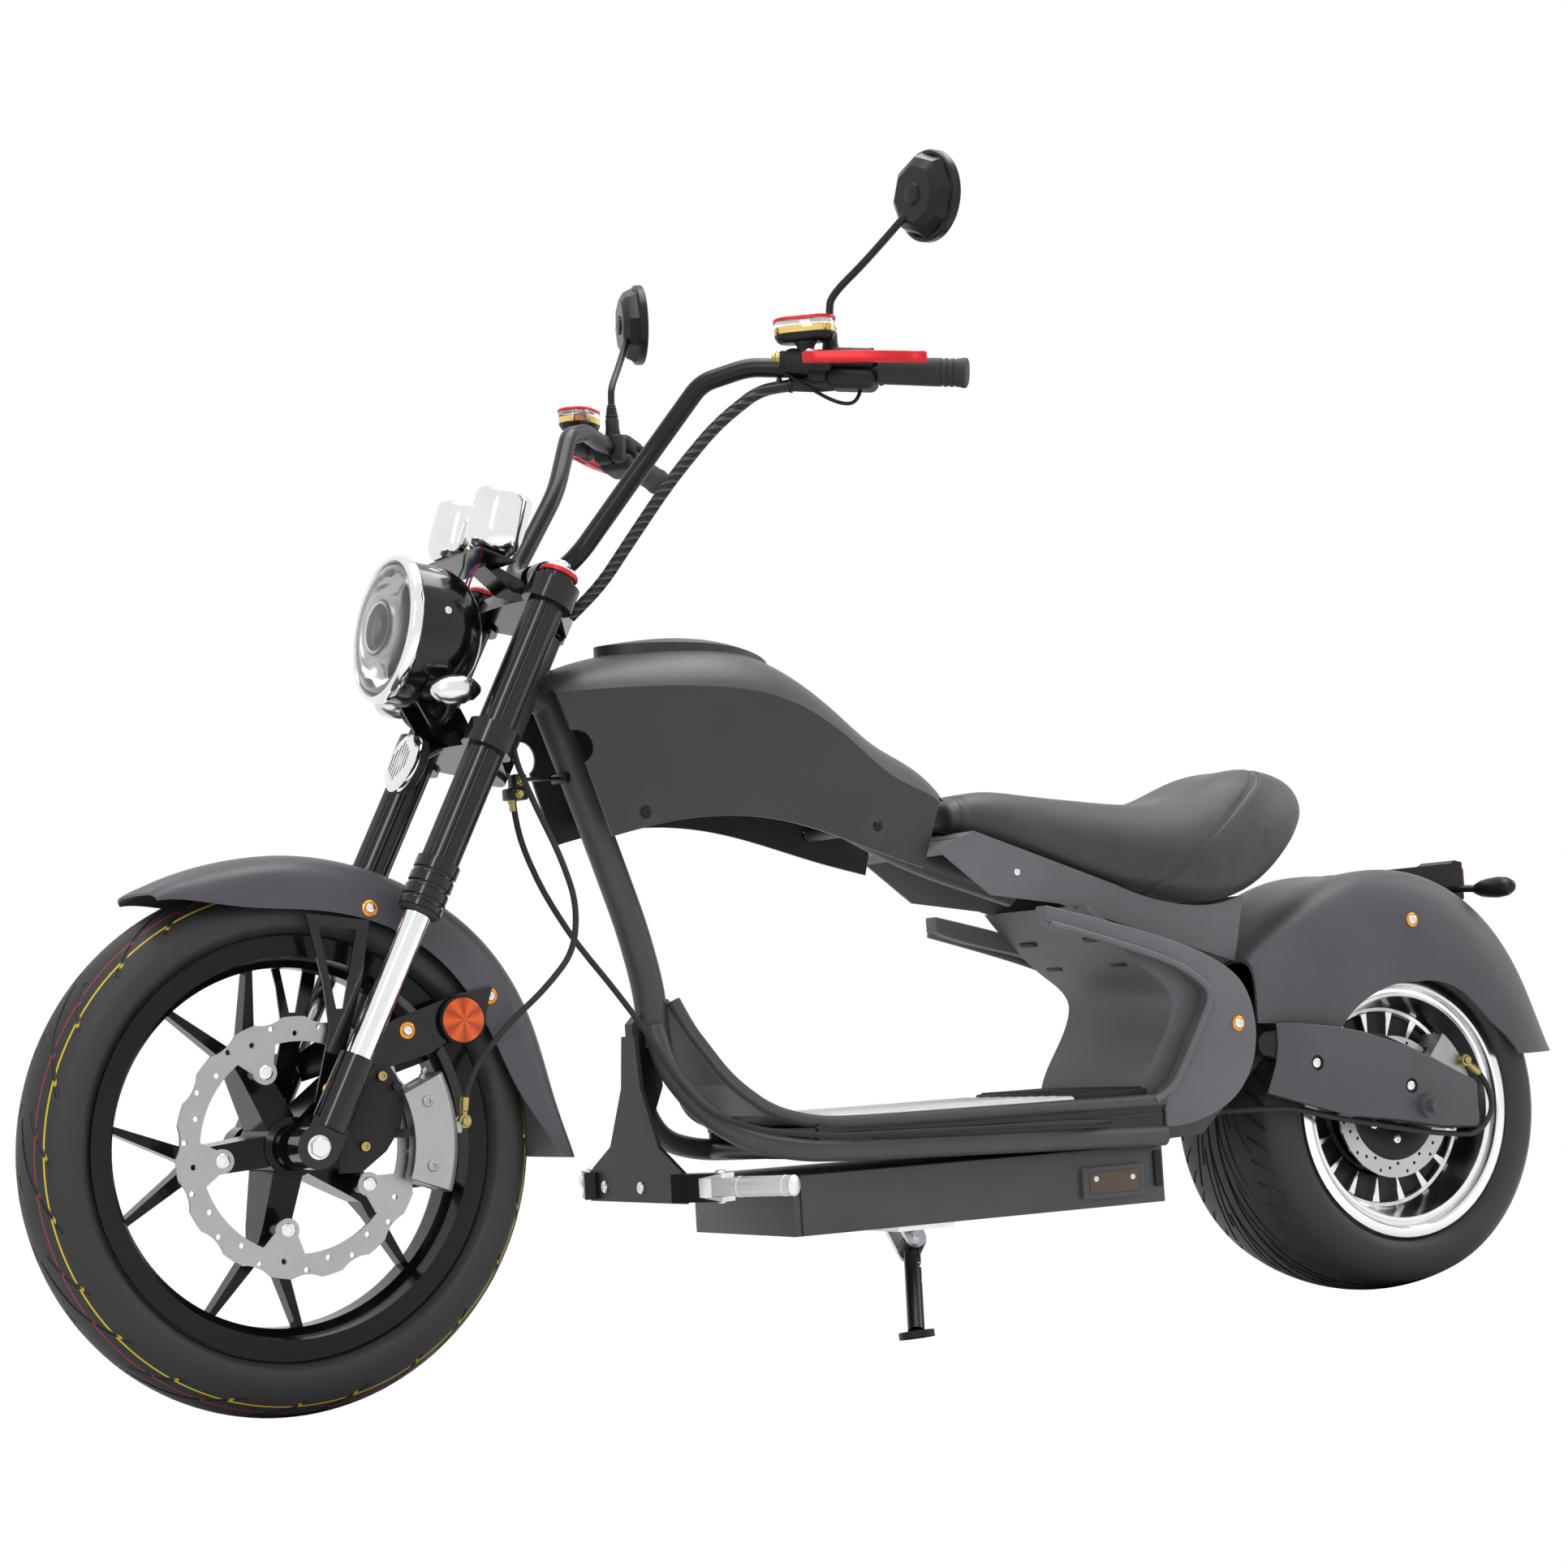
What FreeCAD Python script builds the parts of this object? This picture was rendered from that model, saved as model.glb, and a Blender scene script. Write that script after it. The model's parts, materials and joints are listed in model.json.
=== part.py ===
import FreeCAD, Part
import math
import os

os.makedirs("parts", exist_ok=True)

# Frame while modelling: the machine stands upright, +X to the rear, -Y to the rider's left, +Z up.
# The origin lies on the ground midway between the axles. All sizes are in millimetres.

# Stance
lean_deg = 9.0
wheelbase = 1507.4

# Front tyre and wheel
front_tyre_r = 293.0
front_tyre_w = 112.0
front_crown_r = 62.0
front_bead_r = 216.0
front_flange_r = 229.0
front_rim_half = 44.0
front_rim_wall = 9.0
front_lip = 6.0
front_hub_r = 33.0
front_hub_half = 56.0
tyre_wall = 8.0
spoke_groups = 5

# Rear tyre and wheel
rear_tyre_r = 238.4
rear_tyre_w = 217.0
rear_crown_r = 260.0
rear_bead_r = 152.4
rear_flange_r = 167.6
rear_rim_half = 100.0
rear_rim_wall = 5.0
rear_lip = 7.0
motor_r = 96.0
motor_half = 46.0
fin_count = 18

# Brake discs
front_disc_r = 141.6
front_disc_y = -59.7
rear_disc_r = 92.0
rear_disc_y = -74.0
disc_t = 4.0

# Steering head
rake_deg = 27.4
fork_half = 98.0
fork_offset = 45.0
axle_lead = 7.5
inner_tube_r = 15.5
fork_tube_r = 21.5
boot_r = 25.0
foot_r = 21.0
foot_top_s = 108.0
boot_low_s = 285.0
lower_clamp_s = 496.0
upper_clamp_s = 680.0
clamp_h = 28.0
stem_r = 13.0
head_tube_r = 25.0
running_gap = 0.05
seat_gap = 0.3

# Floor
rail_r = 13.0
rail_half = 128.0
trim_r = 8.0
trim_half = 131.0
deck_t = 5.0
deck_z = 272.0
box_half = 119.0
box_x0 = -178.0
box_x1 = 348.0
box_z0 = 149.0
box_z1 = 219.0
box_wall = 2.5

# Front fender
fender_half = 67.0
fender_wall = 3.0

# Frame tubes
down_r = 19.0
top_tube_r = 19.0

# Shells
sheet = 4.0

axle_r = 6.0
front_x = -wheelbase / 2
rear_x = wheelbase / 2


def V(x, y, z):
    return FreeCAD.Vector(x, y, z)


X = V(1, 0, 0)
Y = V(0, 1, 0)
Z = V(0, 0, 1)


def cyl(a, b, r):
    axis = b - a
    return Part.makeCylinder(r, axis.Length, a, axis)


def tube(a, b, r_out, r_in):
    return cyl(a, b, r_out).cut(cyl(a, b, r_in))


def box(x0, x1, y0, y1, z0, z1):
    return Part.makeBox(x1 - x0, y1 - y0, z1 - z0, V(x0, y0, z0))


def polygon(points):
    return Part.Face(Part.makePolygon(list(points) + [points[0]]))


def smooth(points):
    curve = Part.BSplineCurve()
    curve.interpolate(points)
    return curve.toShape()


def closed_smooth(points):
    curve = Part.BSplineCurve()
    curve.interpolate(points, PeriodicFlag=True)
    return Part.Wire([curve.toShape()])


def face_of(edges):
    return Part.Face(Part.Wire(edges))


def prism_y(outline, y0, y1):
    return polygon([V(x, y0, z) for x, z in outline]).extrude(V(0, y1 - y0, 0))


def smooth_prism_y(outline, y0, y1):
    wire = closed_smooth([V(x, y0, z) for x, z in outline])
    return Part.Face(wire).extrude(V(0, y1 - y0, 0))


def spin(face, centre, axis, angle=360.0):
    return face.revolve(centre, axis, angle)


def fuse(shapes):
    whole = shapes[0]
    if len(shapes) > 1:
        whole = shapes[0].multiFuse(shapes[1:])
    return whole.removeSplitter()


def mirror(shape):
    return shape.mirror(V(0, 0, 0), Y)


def both(shape):
    return [shape, mirror(shape)]


def turned(shape, centre, axis, angle):
    copy = shape.copy()
    copy.rotate(centre, axis, angle)
    return copy


def route(points, share=0.45):
    """Wire of straight runs joined by tangent arcs, each reaching over a share of the shorter run."""
    edges = []
    start = points[0]
    for i in range(1, len(points) - 1):
        before = points[i] - points[i - 1]
        after = points[i + 1] - points[i]
        turn = before.getAngle(after)
        radius = share * min(before.Length, after.Length) / math.tan(turn / 2)
        reach = radius * math.tan(turn / 2)
        d_in = before.normalize()
        d_out = after.normalize()
        a = points[i] - d_in * reach
        c = points[i] + d_out * reach
        inward = (d_out - d_in).normalize()
        sagitta = radius / math.cos(turn / 2) - radius
        m = points[i] + inward * sagitta
        if (a - start).Length > 1e-6:
            edges.append(Part.LineSegment(start, a).toShape())
        edges.append(Part.Arc(a, m, c).toShape())
        start = c
    edges.append(Part.LineSegment(start, points[-1]).toShape())
    return Part.Wire(edges)


def bent_tube(points, r, share=0.45):
    path = route(points, share)
    section = Part.Wire([Part.Circle(points[0], points[1] - points[0], r).toShape()])
    return path.makePipeShell([section], True, False)


def cord(name, points, r):
    """Bent tube that also prints its bends' radii and checks its volume against section by length."""
    path = route(points)
    radii = [round(e.Curve.Radius, 1) for e in path.Edges if hasattr(e.Curve, "Radius")]
    shape = bent_tube(points, r)
    ratio = shape.Volume / (math.pi * r * r * path.Length)
    print(name, "length", round(path.Length, 1), "radii", radii, "volume ratio", round(ratio, 4))
    return shape


def loft(wires, ruled=False):
    return Part.makeLoft(wires, True, ruled)


# Places that follow from the sizes above
front_axle = V(front_x, 0, front_tyre_r)
rear_axle = V(rear_x, 0, rear_tyre_r)
rake = math.radians(rake_deg)
fork_up = V(math.sin(rake), 0, math.cos(rake))
fork_back = V(math.cos(rake), 0, -math.sin(rake))
fork_foot = front_axle + fork_back * axle_lead
head_base = fork_foot + fork_back * fork_offset


def in_fork(shape):
    """Carries a shape drawn with Z along the fork and the origin abreast of the axle to its place."""
    placed = shape.copy()
    placed.rotate(V(0, 0, 0), Y, rake_deg)
    placed.translate(fork_foot)
    return placed


nodes = {}


# Front wheel
def wheel_ring(centre, profile):
    """Solid of revolution about the wheel's axis from (y, r) pairs."""
    face = polygon([centre + V(0, y, r) for y, r in profile])
    return spin(face, centre, Y)


def tyre_solid(centre, radius, width, crown_r, bead_r, flange_r, bead_y):
    half = width / 2
    height = radius - bead_r
    shoulder_y = half * 0.84
    drop = crown_r - math.sqrt(crown_r ** 2 - shoulder_y ** 2)
    shoulder_r = radius - drop

    def outline(inset):
        side = bead_r + height * 0.42
        neck_r = flange_r + 1.5
        pts = {
            "bead": V(0, bead_y - inset, bead_r + seat_gap),
            "neck": V(0, bead_y - inset, neck_r + inset * 0.3),
            "low": V(0, bead_y + (half - bead_y) * 0.75 - inset, neck_r + (side - neck_r) * 0.38),
            "wide": V(0, half - inset, side),
            "shoulder": V(0, shoulder_y - inset * 0.6, shoulder_r - inset * 0.8),
            "top": V(0, 0, radius - inset),
        }
        return pts

    outer = outline(0.0)
    inner = outline(tyre_wall)

    def flip(p):
        return V(0, -p.y, p.z)

    def chain(p):
        foot = Part.LineSegment(p["bead"], p["neck"]).toShape()
        side = smooth([p["neck"], p["low"], p["wide"], p["shoulder"]])
        crown = Part.Arc(p["shoulder"], p["top"], flip(p["shoulder"])).toShape()
        other = smooth([flip(p["shoulder"]), flip(p["wide"]), flip(p["low"]), flip(p["neck"])])
        far_foot = Part.LineSegment(flip(p["neck"]), flip(p["bead"])).toShape()
        return [foot, side, crown, other, far_foot]

    edges = chain(outer)
    edges.append(Part.LineSegment(flip(outer["bead"]), flip(inner["bead"])).toShape())
    edges += chain(inner)
    edges.append(Part.LineSegment(inner["bead"], outer["bead"]).toShape())
    face = Part.Face(Part.Wire(Part.__sortEdges__(edges)))
    face.translate(centre)
    return spin(face, centre, Y)


def rim_ring(centre, bead_r, flange_r, half, lip, wall, well_r):
    profile = [
        (-half, flange_r), (-half + lip, flange_r), (-half + lip, bead_r), (-half * 0.45, bead_r - 2),
        (-half * 0.3, well_r + wall), (half * 0.3, well_r + wall), (half * 0.45, bead_r - 2),
        (half - lip, bead_r), (half - lip, flange_r), (half, flange_r),
        (half, bead_r - wall), (half * 0.55, bead_r - wall - 3), (half * 0.35, well_r),
        (-half * 0.35, well_r), (-half * 0.55, bead_r - wall - 3), (-half, bead_r - wall),
    ]
    return wheel_ring(centre, profile)


nodes["front_tyre"] = tyre_solid(
    front_axle, front_tyre_r, front_tyre_w, front_crown_r, front_bead_r, front_flange_r,
    front_rim_half - front_lip - seat_gap)

front_well_r = front_bead_r - 20.0
hub = wheel_ring(front_axle, [
    (-front_hub_half, axle_r + running_gap), (-front_hub_half, 24), (-44, 26), (-40, front_hub_r),
    (40, front_hub_r), (46, 24), (front_hub_half, 24), (front_hub_half, axle_r + running_gap)])
arm_end = 106.0
spoke_end = front_well_r + 3.0
arm_half_angle = math.radians(15.3)
spider_turn = math.radians(-23.6)


def polar(centre, r, angle, y):
    return centre + V(r * math.sin(angle), y, r * math.cos(angle))


def spoke_outline(angle):
    left = polar(front_axle, spoke_end, angle - arm_half_angle, -60)
    right = polar(front_axle, spoke_end, angle + arm_half_angle, -60)
    tangent = V(math.cos(angle), 0, -math.sin(angle))
    root_l = polar(front_axle, front_hub_r - 4, angle, -60) - tangent * 17
    root_r = polar(front_axle, front_hub_r - 4, angle, -60) + tangent * 17
    fork_l = polar(front_axle, arm_end, angle, -60) - tangent * 15
    fork_r = polar(front_axle, arm_end, angle, -60) + tangent * 15
    crotch = polar(front_axle, arm_end + 6, angle, -60)
    thin = 4.0
    return [root_l, fork_l, left - tangent * thin, left + tangent * thin, crotch,
            right - tangent * thin, right + tangent * thin, fork_r, root_r]


arms = []
for i in range(spoke_groups):
    turn = 2 * math.pi * i / spoke_groups + spider_turn
    arms.append(polygon(spoke_outline(turn)).extrude(V(0, 120, 0)))
envelope = wheel_ring(front_axle, [
    (-38, 24), (-26, 90), (-12, arm_end + 20), (-9, spoke_end + 4),
    (9, spoke_end + 4), (12, arm_end + 20), (26, 90), (38, 24)])
spider = fuse(arms).common(envelope)
rim_barrel = rim_ring(front_axle, front_bead_r, front_flange_r, front_rim_half, front_lip,
                      front_rim_wall, front_well_r)
disc_face = abs(front_disc_y) - disc_t / 2
disc_bolt_r = 90.0
posts = []
for i in range(spoke_groups):
    turn = 2 * math.pi * i / spoke_groups + spider_turn
    posts.append(cyl(polar(front_axle, disc_bolt_r, turn, -disc_face),
                     polar(front_axle, disc_bolt_r, turn, -20), 11))
nodes["front_rim"] = fuse([rim_barrel, hub, spider] + posts)


def brake_disc(centre, y, r_out, ring_w, bolt_r, ears, first, wave, holes_per_ear):
    y0 = y - disc_t / 2
    y1 = y + disc_t / 2
    ring = tube(centre + Y * y0, centre + Y * y1, r_out, r_out - ring_w)
    ear_solids = []
    for i in range(ears):
        a = 2 * math.pi * i / ears + first
        tangent = V(math.cos(a), 0, -math.sin(a))
        foot = polar(centre, r_out - ring_w + 3, a, y0)
        tip = polar(centre, bolt_r, a, y0)
        outline = [foot - tangent * 27, tip - tangent * 10, tip + tangent * 10, foot + tangent * 27]
        ear_solids.append(polygon(outline).extrude(Y * disc_t))
        ear_solids.append(cyl(tip, tip + Y * disc_t, 13))
    disc = fuse([ring] + ear_solids)
    cuts = []
    for i in range(ears):
        a = 2 * math.pi * i / ears + first
        tip = polar(centre, bolt_r, a, y0 - 1)
        cuts.append(cyl(tip, tip + Y * (disc_t + 2), 4.2))
    if wave > 0:
        waves = ears * 3
        for i in range(waves):
            a = 2 * math.pi * (i + 0.5) / waves
            dip = polar(centre, r_out + 34, a, y0 - 1)
            cuts.append(cyl(dip, dip + Y * (disc_t + 2), 34 + wave))
    for i in range(ears * holes_per_ear):
        a = 2 * math.pi * i / (ears * holes_per_ear)
        r = r_out - ring_w * (0.36 if i % 2 else 0.68)
        hole = polar(centre, r, a, y0 - 1)
        cuts.append(cyl(hole, hole + Y * (disc_t + 2), 3.2))
    return disc.cut(Part.makeCompound(cuts))


nodes["front_disc"] = brake_disc(
    front_axle, front_disc_y, front_disc_r, 27, disc_bolt_r, spoke_groups, spider_turn, 5.0, 6)

# Rear wheel
rear_axle_r = axle_r + 2
nodes["rear_tyre"] = tyre_solid(
    rear_axle, rear_tyre_r, rear_tyre_w, rear_crown_r, rear_bead_r, rear_flange_r,
    rear_rim_half - rear_lip - seat_gap)
rear_well_r = rear_bead_r - 9.0
barrel = wheel_ring(rear_axle, [
    (-rear_rim_half, rear_flange_r), (-rear_rim_half + rear_lip, rear_flange_r),
    (-rear_rim_half + rear_lip, rear_bead_r), (rear_rim_half - rear_lip, rear_bead_r),
    (rear_rim_half - rear_lip, rear_flange_r), (rear_rim_half, rear_flange_r),
    (rear_rim_half, rear_bead_r - 1), (rear_rim_half - 9, rear_bead_r - rear_rim_wall),
    (-rear_rim_half + 9, rear_bead_r - rear_rim_wall), (-rear_rim_half, rear_bead_r - 1)])
barrel_in = rear_bead_r - rear_rim_wall
fins = []
fin_y0 = -50.0
fin_y1 = -34.0
dish_in = 121.0
dish = wheel_ring(rear_axle, [
    (-91, barrel_in + 1), (-91, 142), (-56, 131), (-50, 128), (-50, dish_in), (-40, dish_in), (-40, 133),
    (-54, 136), (-87, barrel_in + 1)])
for side in (-1, 1):
    for i in range(fin_count):
        a = 2 * math.pi * (i + 0.5) / fin_count
        tangent = V(math.cos(a), 0, -math.sin(a))
        root = polar(rear_axle, dish_in + 2, a, 0)
        tip = polar(rear_axle, motor_r - 4, a, 0)
        outline = [root - tangent * 5, tip - tangent * 1.5, tip + tangent * 1.5, root + tangent * 5]
        fin = polygon([p + Y * fin_y0 for p in outline]).extrude(Y * (fin_y1 - fin_y0))
        fins.append(fin if side < 0 else mirror(fin))
webs = []
for y in (-40, 32):
    webs.append(wheel_ring(rear_axle, [(y, motor_r - 6), (y, barrel_in + 2), (y + 8, barrel_in + 2),
                                       (y + 8, motor_r - 6)]))
nodes["rear_rim"] = fuse([barrel] + both(dish) + fins + webs)
rotor_seat = abs(rear_disc_y) - disc_t / 2
nodes["hub_motor"] = wheel_ring(rear_axle, [
    (-motor_half, motor_r - 14), (-motor_half + 8, motor_r - 6 - seat_gap),
    (motor_half - 8, motor_r - 6 - seat_gap), (motor_half, motor_r - 14), (motor_half, 30),
    (motor_half + 9, 26), (motor_half + 9, rear_axle_r + running_gap),
    (-rotor_seat, rear_axle_r + running_gap), (-rotor_seat, 52), (-motor_half, 52)])
nodes["rear_disc"] = brake_disc(
    rear_axle, rear_disc_y, rear_disc_r, 26, 42, 6, 0.0, 0.0, 6)

# Fork
def fluted(y, s0, s1, r, flutes, depth):
    body = cyl(V(0, y, s0), V(0, y, s1), r)
    cuts = []
    for i in range(flutes):
        a = 2 * math.pi * i / flutes
        centre = V((r + 2.6 - depth) * math.cos(a), y + (r + 2.6 - depth) * math.sin(a), s0 - 1)
        cuts.append(cyl(centre, centre + Z * (s1 - s0 + 2), 2.6))
    return body.cut(Part.makeCompound(cuts))


uppers = []
inners = []
for y in (-fork_half, fork_half):
    gap_top = upper_clamp_s - clamp_h / 2
    gap_low = lower_clamp_s + clamp_h / 2
    shank = lower_clamp_s - clamp_h / 2
    core = cyl(V(0, y, boot_low_s + 60), V(0, y, upper_clamp_s + clamp_h / 2), fork_tube_r - 2)
    low = fluted(y, boot_low_s + 55, shank, fork_tube_r, 10, 1.6)
    high = fluted(y, gap_low, gap_top, fork_tube_r, 10, 1.6)
    boot = cyl(V(0, y, boot_low_s), V(0, y, boot_low_s + 58), boot_r)
    rings = []
    for k in range(3):
        at = boot_low_s + 10 + 16 * k
        rings.append(Part.makeTorus(boot_r + 1.5, 3.2, V(0, y, at), Z))
    boot = boot.cut(Part.makeCompound(rings))
    bore = cyl(V(0, y, boot_low_s - 1), V(0, y, boot_low_s + 120), inner_tube_r + seat_gap)
    uppers.append(in_fork(fuse([core, low, high, boot]).cut(bore)))
    inners.append(in_fork(cyl(V(0, y, foot_top_s - 50), V(0, y, boot_low_s + 118), inner_tube_r)))
nodes["fork_tubes"] = Part.makeCompound(uppers)
nodes["fork_inners"] = Part.makeCompound(inners)

feet = []
for y in (-fork_half, fork_half):
    body = cyl(V(0, y, 24), V(0, y, foot_top_s), foot_r)
    boss = cyl(V(-axle_lead, y - 15, 0), V(-axle_lead, y + 15, 0), 24)
    neck = box(-axle_lead - 18, 18, y - 13, y + 13, -4, 30)
    socket = cyl(V(0, y, foot_top_s - 50 - seat_gap), V(0, y, foot_top_s + 1), inner_tube_r + seat_gap)
    pin = cyl(V(-axle_lead, y - 20, 0), V(-axle_lead, y + 20, 0), axle_r + 1.0)
    feet.append(in_fork(fuse([body, boss, neck]).cut(socket).cut(pin)))
stay_y0 = fender_half + seat_gap
stay_y1 = stay_y0 + 3.0
a_frame = prism_y([(-738, 545), (-664, 535), (-676, 470), (-696, 405), (-716, 405), (-722, 470)],
                  -stay_y1, -stay_y0)
a_hole = prism_y([(-724, 531), (-680, 525), (-700, 440), (-708, 440)], -stay_y1 - 1, -stay_y0 + 1)
a_arm = prism_y([(-718, 415), (-694, 415), (-712, 345), (-738, 340)], -stay_y1, -stay_y0)
r_arm = prism_y([(-704, 392), (-640, 425), (-560, 450), (-520, 455), (-530, 425), (-600, 385),
                 (-696, 362)], -stay_y1, -stay_y0)
stay = fuse([a_frame, a_arm]).cut(a_hole)
foot_wall_y = fork_half - foot_r + 3.0
stay_spacers = [
    cyl(V(-720, -stay_y0, 352), V(-720, -foot_wall_y, 352), 7),
    cyl(V(-692, -stay_y0, 378), V(-692, -foot_wall_y, 378), 7),
]
left_foot = fuse([feet[0], stay, r_arm] + stay_spacers)
right_foot = fuse([feet[1]] + [mirror(s) for s in [stay, r_arm] + stay_spacers])
nodes["fork_feet"] = Part.makeCompound([left_foot, right_foot])

nodes["front_axle"] = fuse([
    cyl(front_axle - Y * (fork_half + 22), front_axle + Y * (fork_half + 22), axle_r),
    cyl(front_axle - Y * (fork_half + 22), front_axle - Y * (fork_half + 15 + seat_gap), 13),
    cyl(front_axle + Y * (fork_half + 15 + seat_gap), front_axle + Y * (fork_half + 22), 13)])

# Stem with both clamps
def clamp_plate(s_mid):
    s0 = s_mid - clamp_h / 2
    rings = [cyl(V(0, y, s0), V(0, y, s0 + clamp_h), fork_tube_r + 8) for y in (-fork_half, fork_half)]
    centre = cyl(V(fork_offset, 0, s0), V(fork_offset, 0, s0 + clamp_h), 28)
    web = polygon([V(-12, -fork_half, s0 + 4), V(-16, -30, s0 + 4), V(-16, 30, s0 + 4),
                   V(-12, fork_half, s0 + 4), V(16, fork_half, s0 + 4), V(fork_offset + 22, 22, s0 + 4),
                   V(fork_offset + 22, -22, s0 + 4), V(16, -fork_half, s0 + 4)])
    plate = web.extrude(V(0, 0, clamp_h - 8))
    holes = [cyl(V(0, y, s0 - 1), V(0, y, s0 + clamp_h + 1), fork_tube_r - 2 + seat_gap)
             for y in (-fork_half, fork_half)]
    return fuse(rings + [centre, plate]).cut(Part.makeCompound(holes))


stem_axis_low = V(fork_offset, 0, lower_clamp_s - clamp_h / 2 - 6)
stem_axis_high = V(fork_offset, 0, upper_clamp_s + clamp_h / 2 + 14)
stem = cyl(stem_axis_low, stem_axis_high, stem_r)
stem_nut = cyl(V(fork_offset, 0, upper_clamp_s + clamp_h / 2), stem_axis_high, 19)
caps = [cyl(V(0, y, upper_clamp_s + clamp_h / 2), V(0, y, upper_clamp_s + clamp_h / 2 + 9), 20)
        for y in (-fork_half, fork_half)]
riser_s = upper_clamp_s + clamp_h / 2
bar_r = 11.0
bar_s = riser_s + 29.0
risers = []
for y in (-18, 18):
    risers.append(cyl(V(14, y, riser_s - 6), V(14, y, bar_s), 11))
    risers.append(cyl(V(14, y - 10, bar_s), V(14, y + 10, bar_s), 17))
bar_hole = cyl(V(14, -40, bar_s), V(14, 40, bar_s), bar_r + seat_gap)
clamps = in_fork(fuse(
    [clamp_plate(lower_clamp_s), clamp_plate(upper_clamp_s), stem, stem_nut] + caps + risers).cut(bar_hole))

# Front fender: sections across an arc about the axle, wider and deeper in the middle
def fender_section(centre, angle, r_top, r_edge, half, inset):
    r1 = r_top - inset
    h = half - inset
    side = [(h, 0.0), (h * 0.985, 0.32), (h * 0.9, 0.66), (h * 0.6, 0.9), (0, 1.0)]
    left = [(-y, r_edge + (r1 - r_edge) * part) for y, part in side]
    right = [(y, r_edge + (r1 - r_edge) * part) for y, part in reversed(side[:-1])]
    rows = left + right
    return [polar(centre, r, angle, y) for y, r in rows]


def fender(centre, stations, wall):
    wires = []
    for degrees, r_top, r_edge, half in stations:
        angle = math.radians(degrees)
        outer = fender_section(centre, angle, r_top, r_edge, half, 0.0)
        inner = fender_section(centre, angle, r_top, r_edge, half, wall)
        wires.append(Part.Wire([
            smooth(outer), Part.LineSegment(outer[-1], inner[-1]).toShape(),
            smooth(list(reversed(inner))), Part.LineSegment(inner[0], outer[0]).toShape()]))
    return loft(wires)


front_fender_stations = [
    (-28.5, 322, 310, -5), (-22, 322, 292, -1), (-12, 320, 268, 0), (4, 320, 257, 0), (26, 322, 260, 0),
    (46, 327, 260, 0), (66, 325, 256, 0), (82, 323, 268, 0), (92, 333, 298, -1), (96, 340, 318, -5),
]
nodes["front_fender"] = fender(
    front_axle, [(a, t, e, fender_half + d) for a, t, e, d in front_fender_stations], fender_wall)

# Front caliper round the disc's rear edge
cal_face = polygon([polar(front_axle, r, math.radians(62), y)
                    for y, r in [(-88, 112), (-88, 172), (-80, 180), (-46, 180), (-38, 172), (-38, 112)]])
caliper = spin(cal_face, front_axle, Y, 56)
disc_slot = tube(front_axle + Y * (front_disc_y - 6), front_axle + Y * (front_disc_y + 6),
                 front_disc_r + 4, 60)
cal_arm = prism_y([(-724, 332), (-660, 348), (-615, 368), (-600, 340), (-605, 262), (-680, 244),
                   (-722, 262)], -fork_half + foot_r + seat_gap, -71)
nodes["front_caliper"] = fuse([caliper.cut(disc_slot), cal_arm])

# Headlamp
lamp_centre = V(-596, 0, 866)
lamp_tilt = 10.0
lamp_r = 85.0
bucket_r = 81.0


def lathe_x(profile, centre, tilt):
    """Solid of revolution about a fore-and-aft axis; pairs are (distance to the rear, radius)."""
    face = polygon([centre + V(d, 0, r) for d, r in profile])
    solid = spin(face, centre, X)
    return turned(solid, centre, Y, tilt)


nodes["headlamp"] = lathe_x([
    (0, lamp_r - 9), (-4, lamp_r - 4), (0, lamp_r), (12, lamp_r), (14, bucket_r), (62, bucket_r),
    (92, lamp_r - 28), (108, lamp_r - 60), (108, 0), (103, 0), (103, lamp_r - 62), (88, lamp_r - 34),
    (58, bucket_r - 5), (12, lamp_r - 9)], lamp_centre, lamp_tilt)
lens_r = lamp_r - 9 - seat_gap
lens_pts = [lamp_centre + V(4, 0, lens_r), lamp_centre + V(-12, 0, lens_r * 0.6),
            lamp_centre + V(-17, 0, 0)]
lens_edges = [smooth(lens_pts),
              Part.LineSegment(lens_pts[-1], lamp_centre + V(-12, 0, 0)).toShape(),
              smooth([lamp_centre + V(-12, 0, 0), lamp_centre + V(-7, 0, lens_r * 0.6),
                      lamp_centre + V(9, 0, lens_r)]),
              Part.LineSegment(lamp_centre + V(9, 0, lens_r), lens_pts[0]).toShape()]
nodes["headlamp_lens"] = turned(spin(face_of(lens_edges), lamp_centre, X), lamp_centre, Y, lamp_tilt)

# Front bracket with gauge cups, signals and horn
cup_r = 33.0
cup_h = 72.0
cup_axis = V(math.sin(math.radians(20)), 0, math.cos(math.radians(20)))
cups = []
for y in (-53, 53):
    base = V(-487, y, 945)
    wall = cyl(base, base + cup_axis * cup_h, cup_r).cut(
        cyl(base + cup_axis * (cup_h - 6), base + cup_axis * (cup_h + 1), cup_r - 3))
    cups.append(wall)
nodes["gauges"] = Part.makeCompound(cups)

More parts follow.
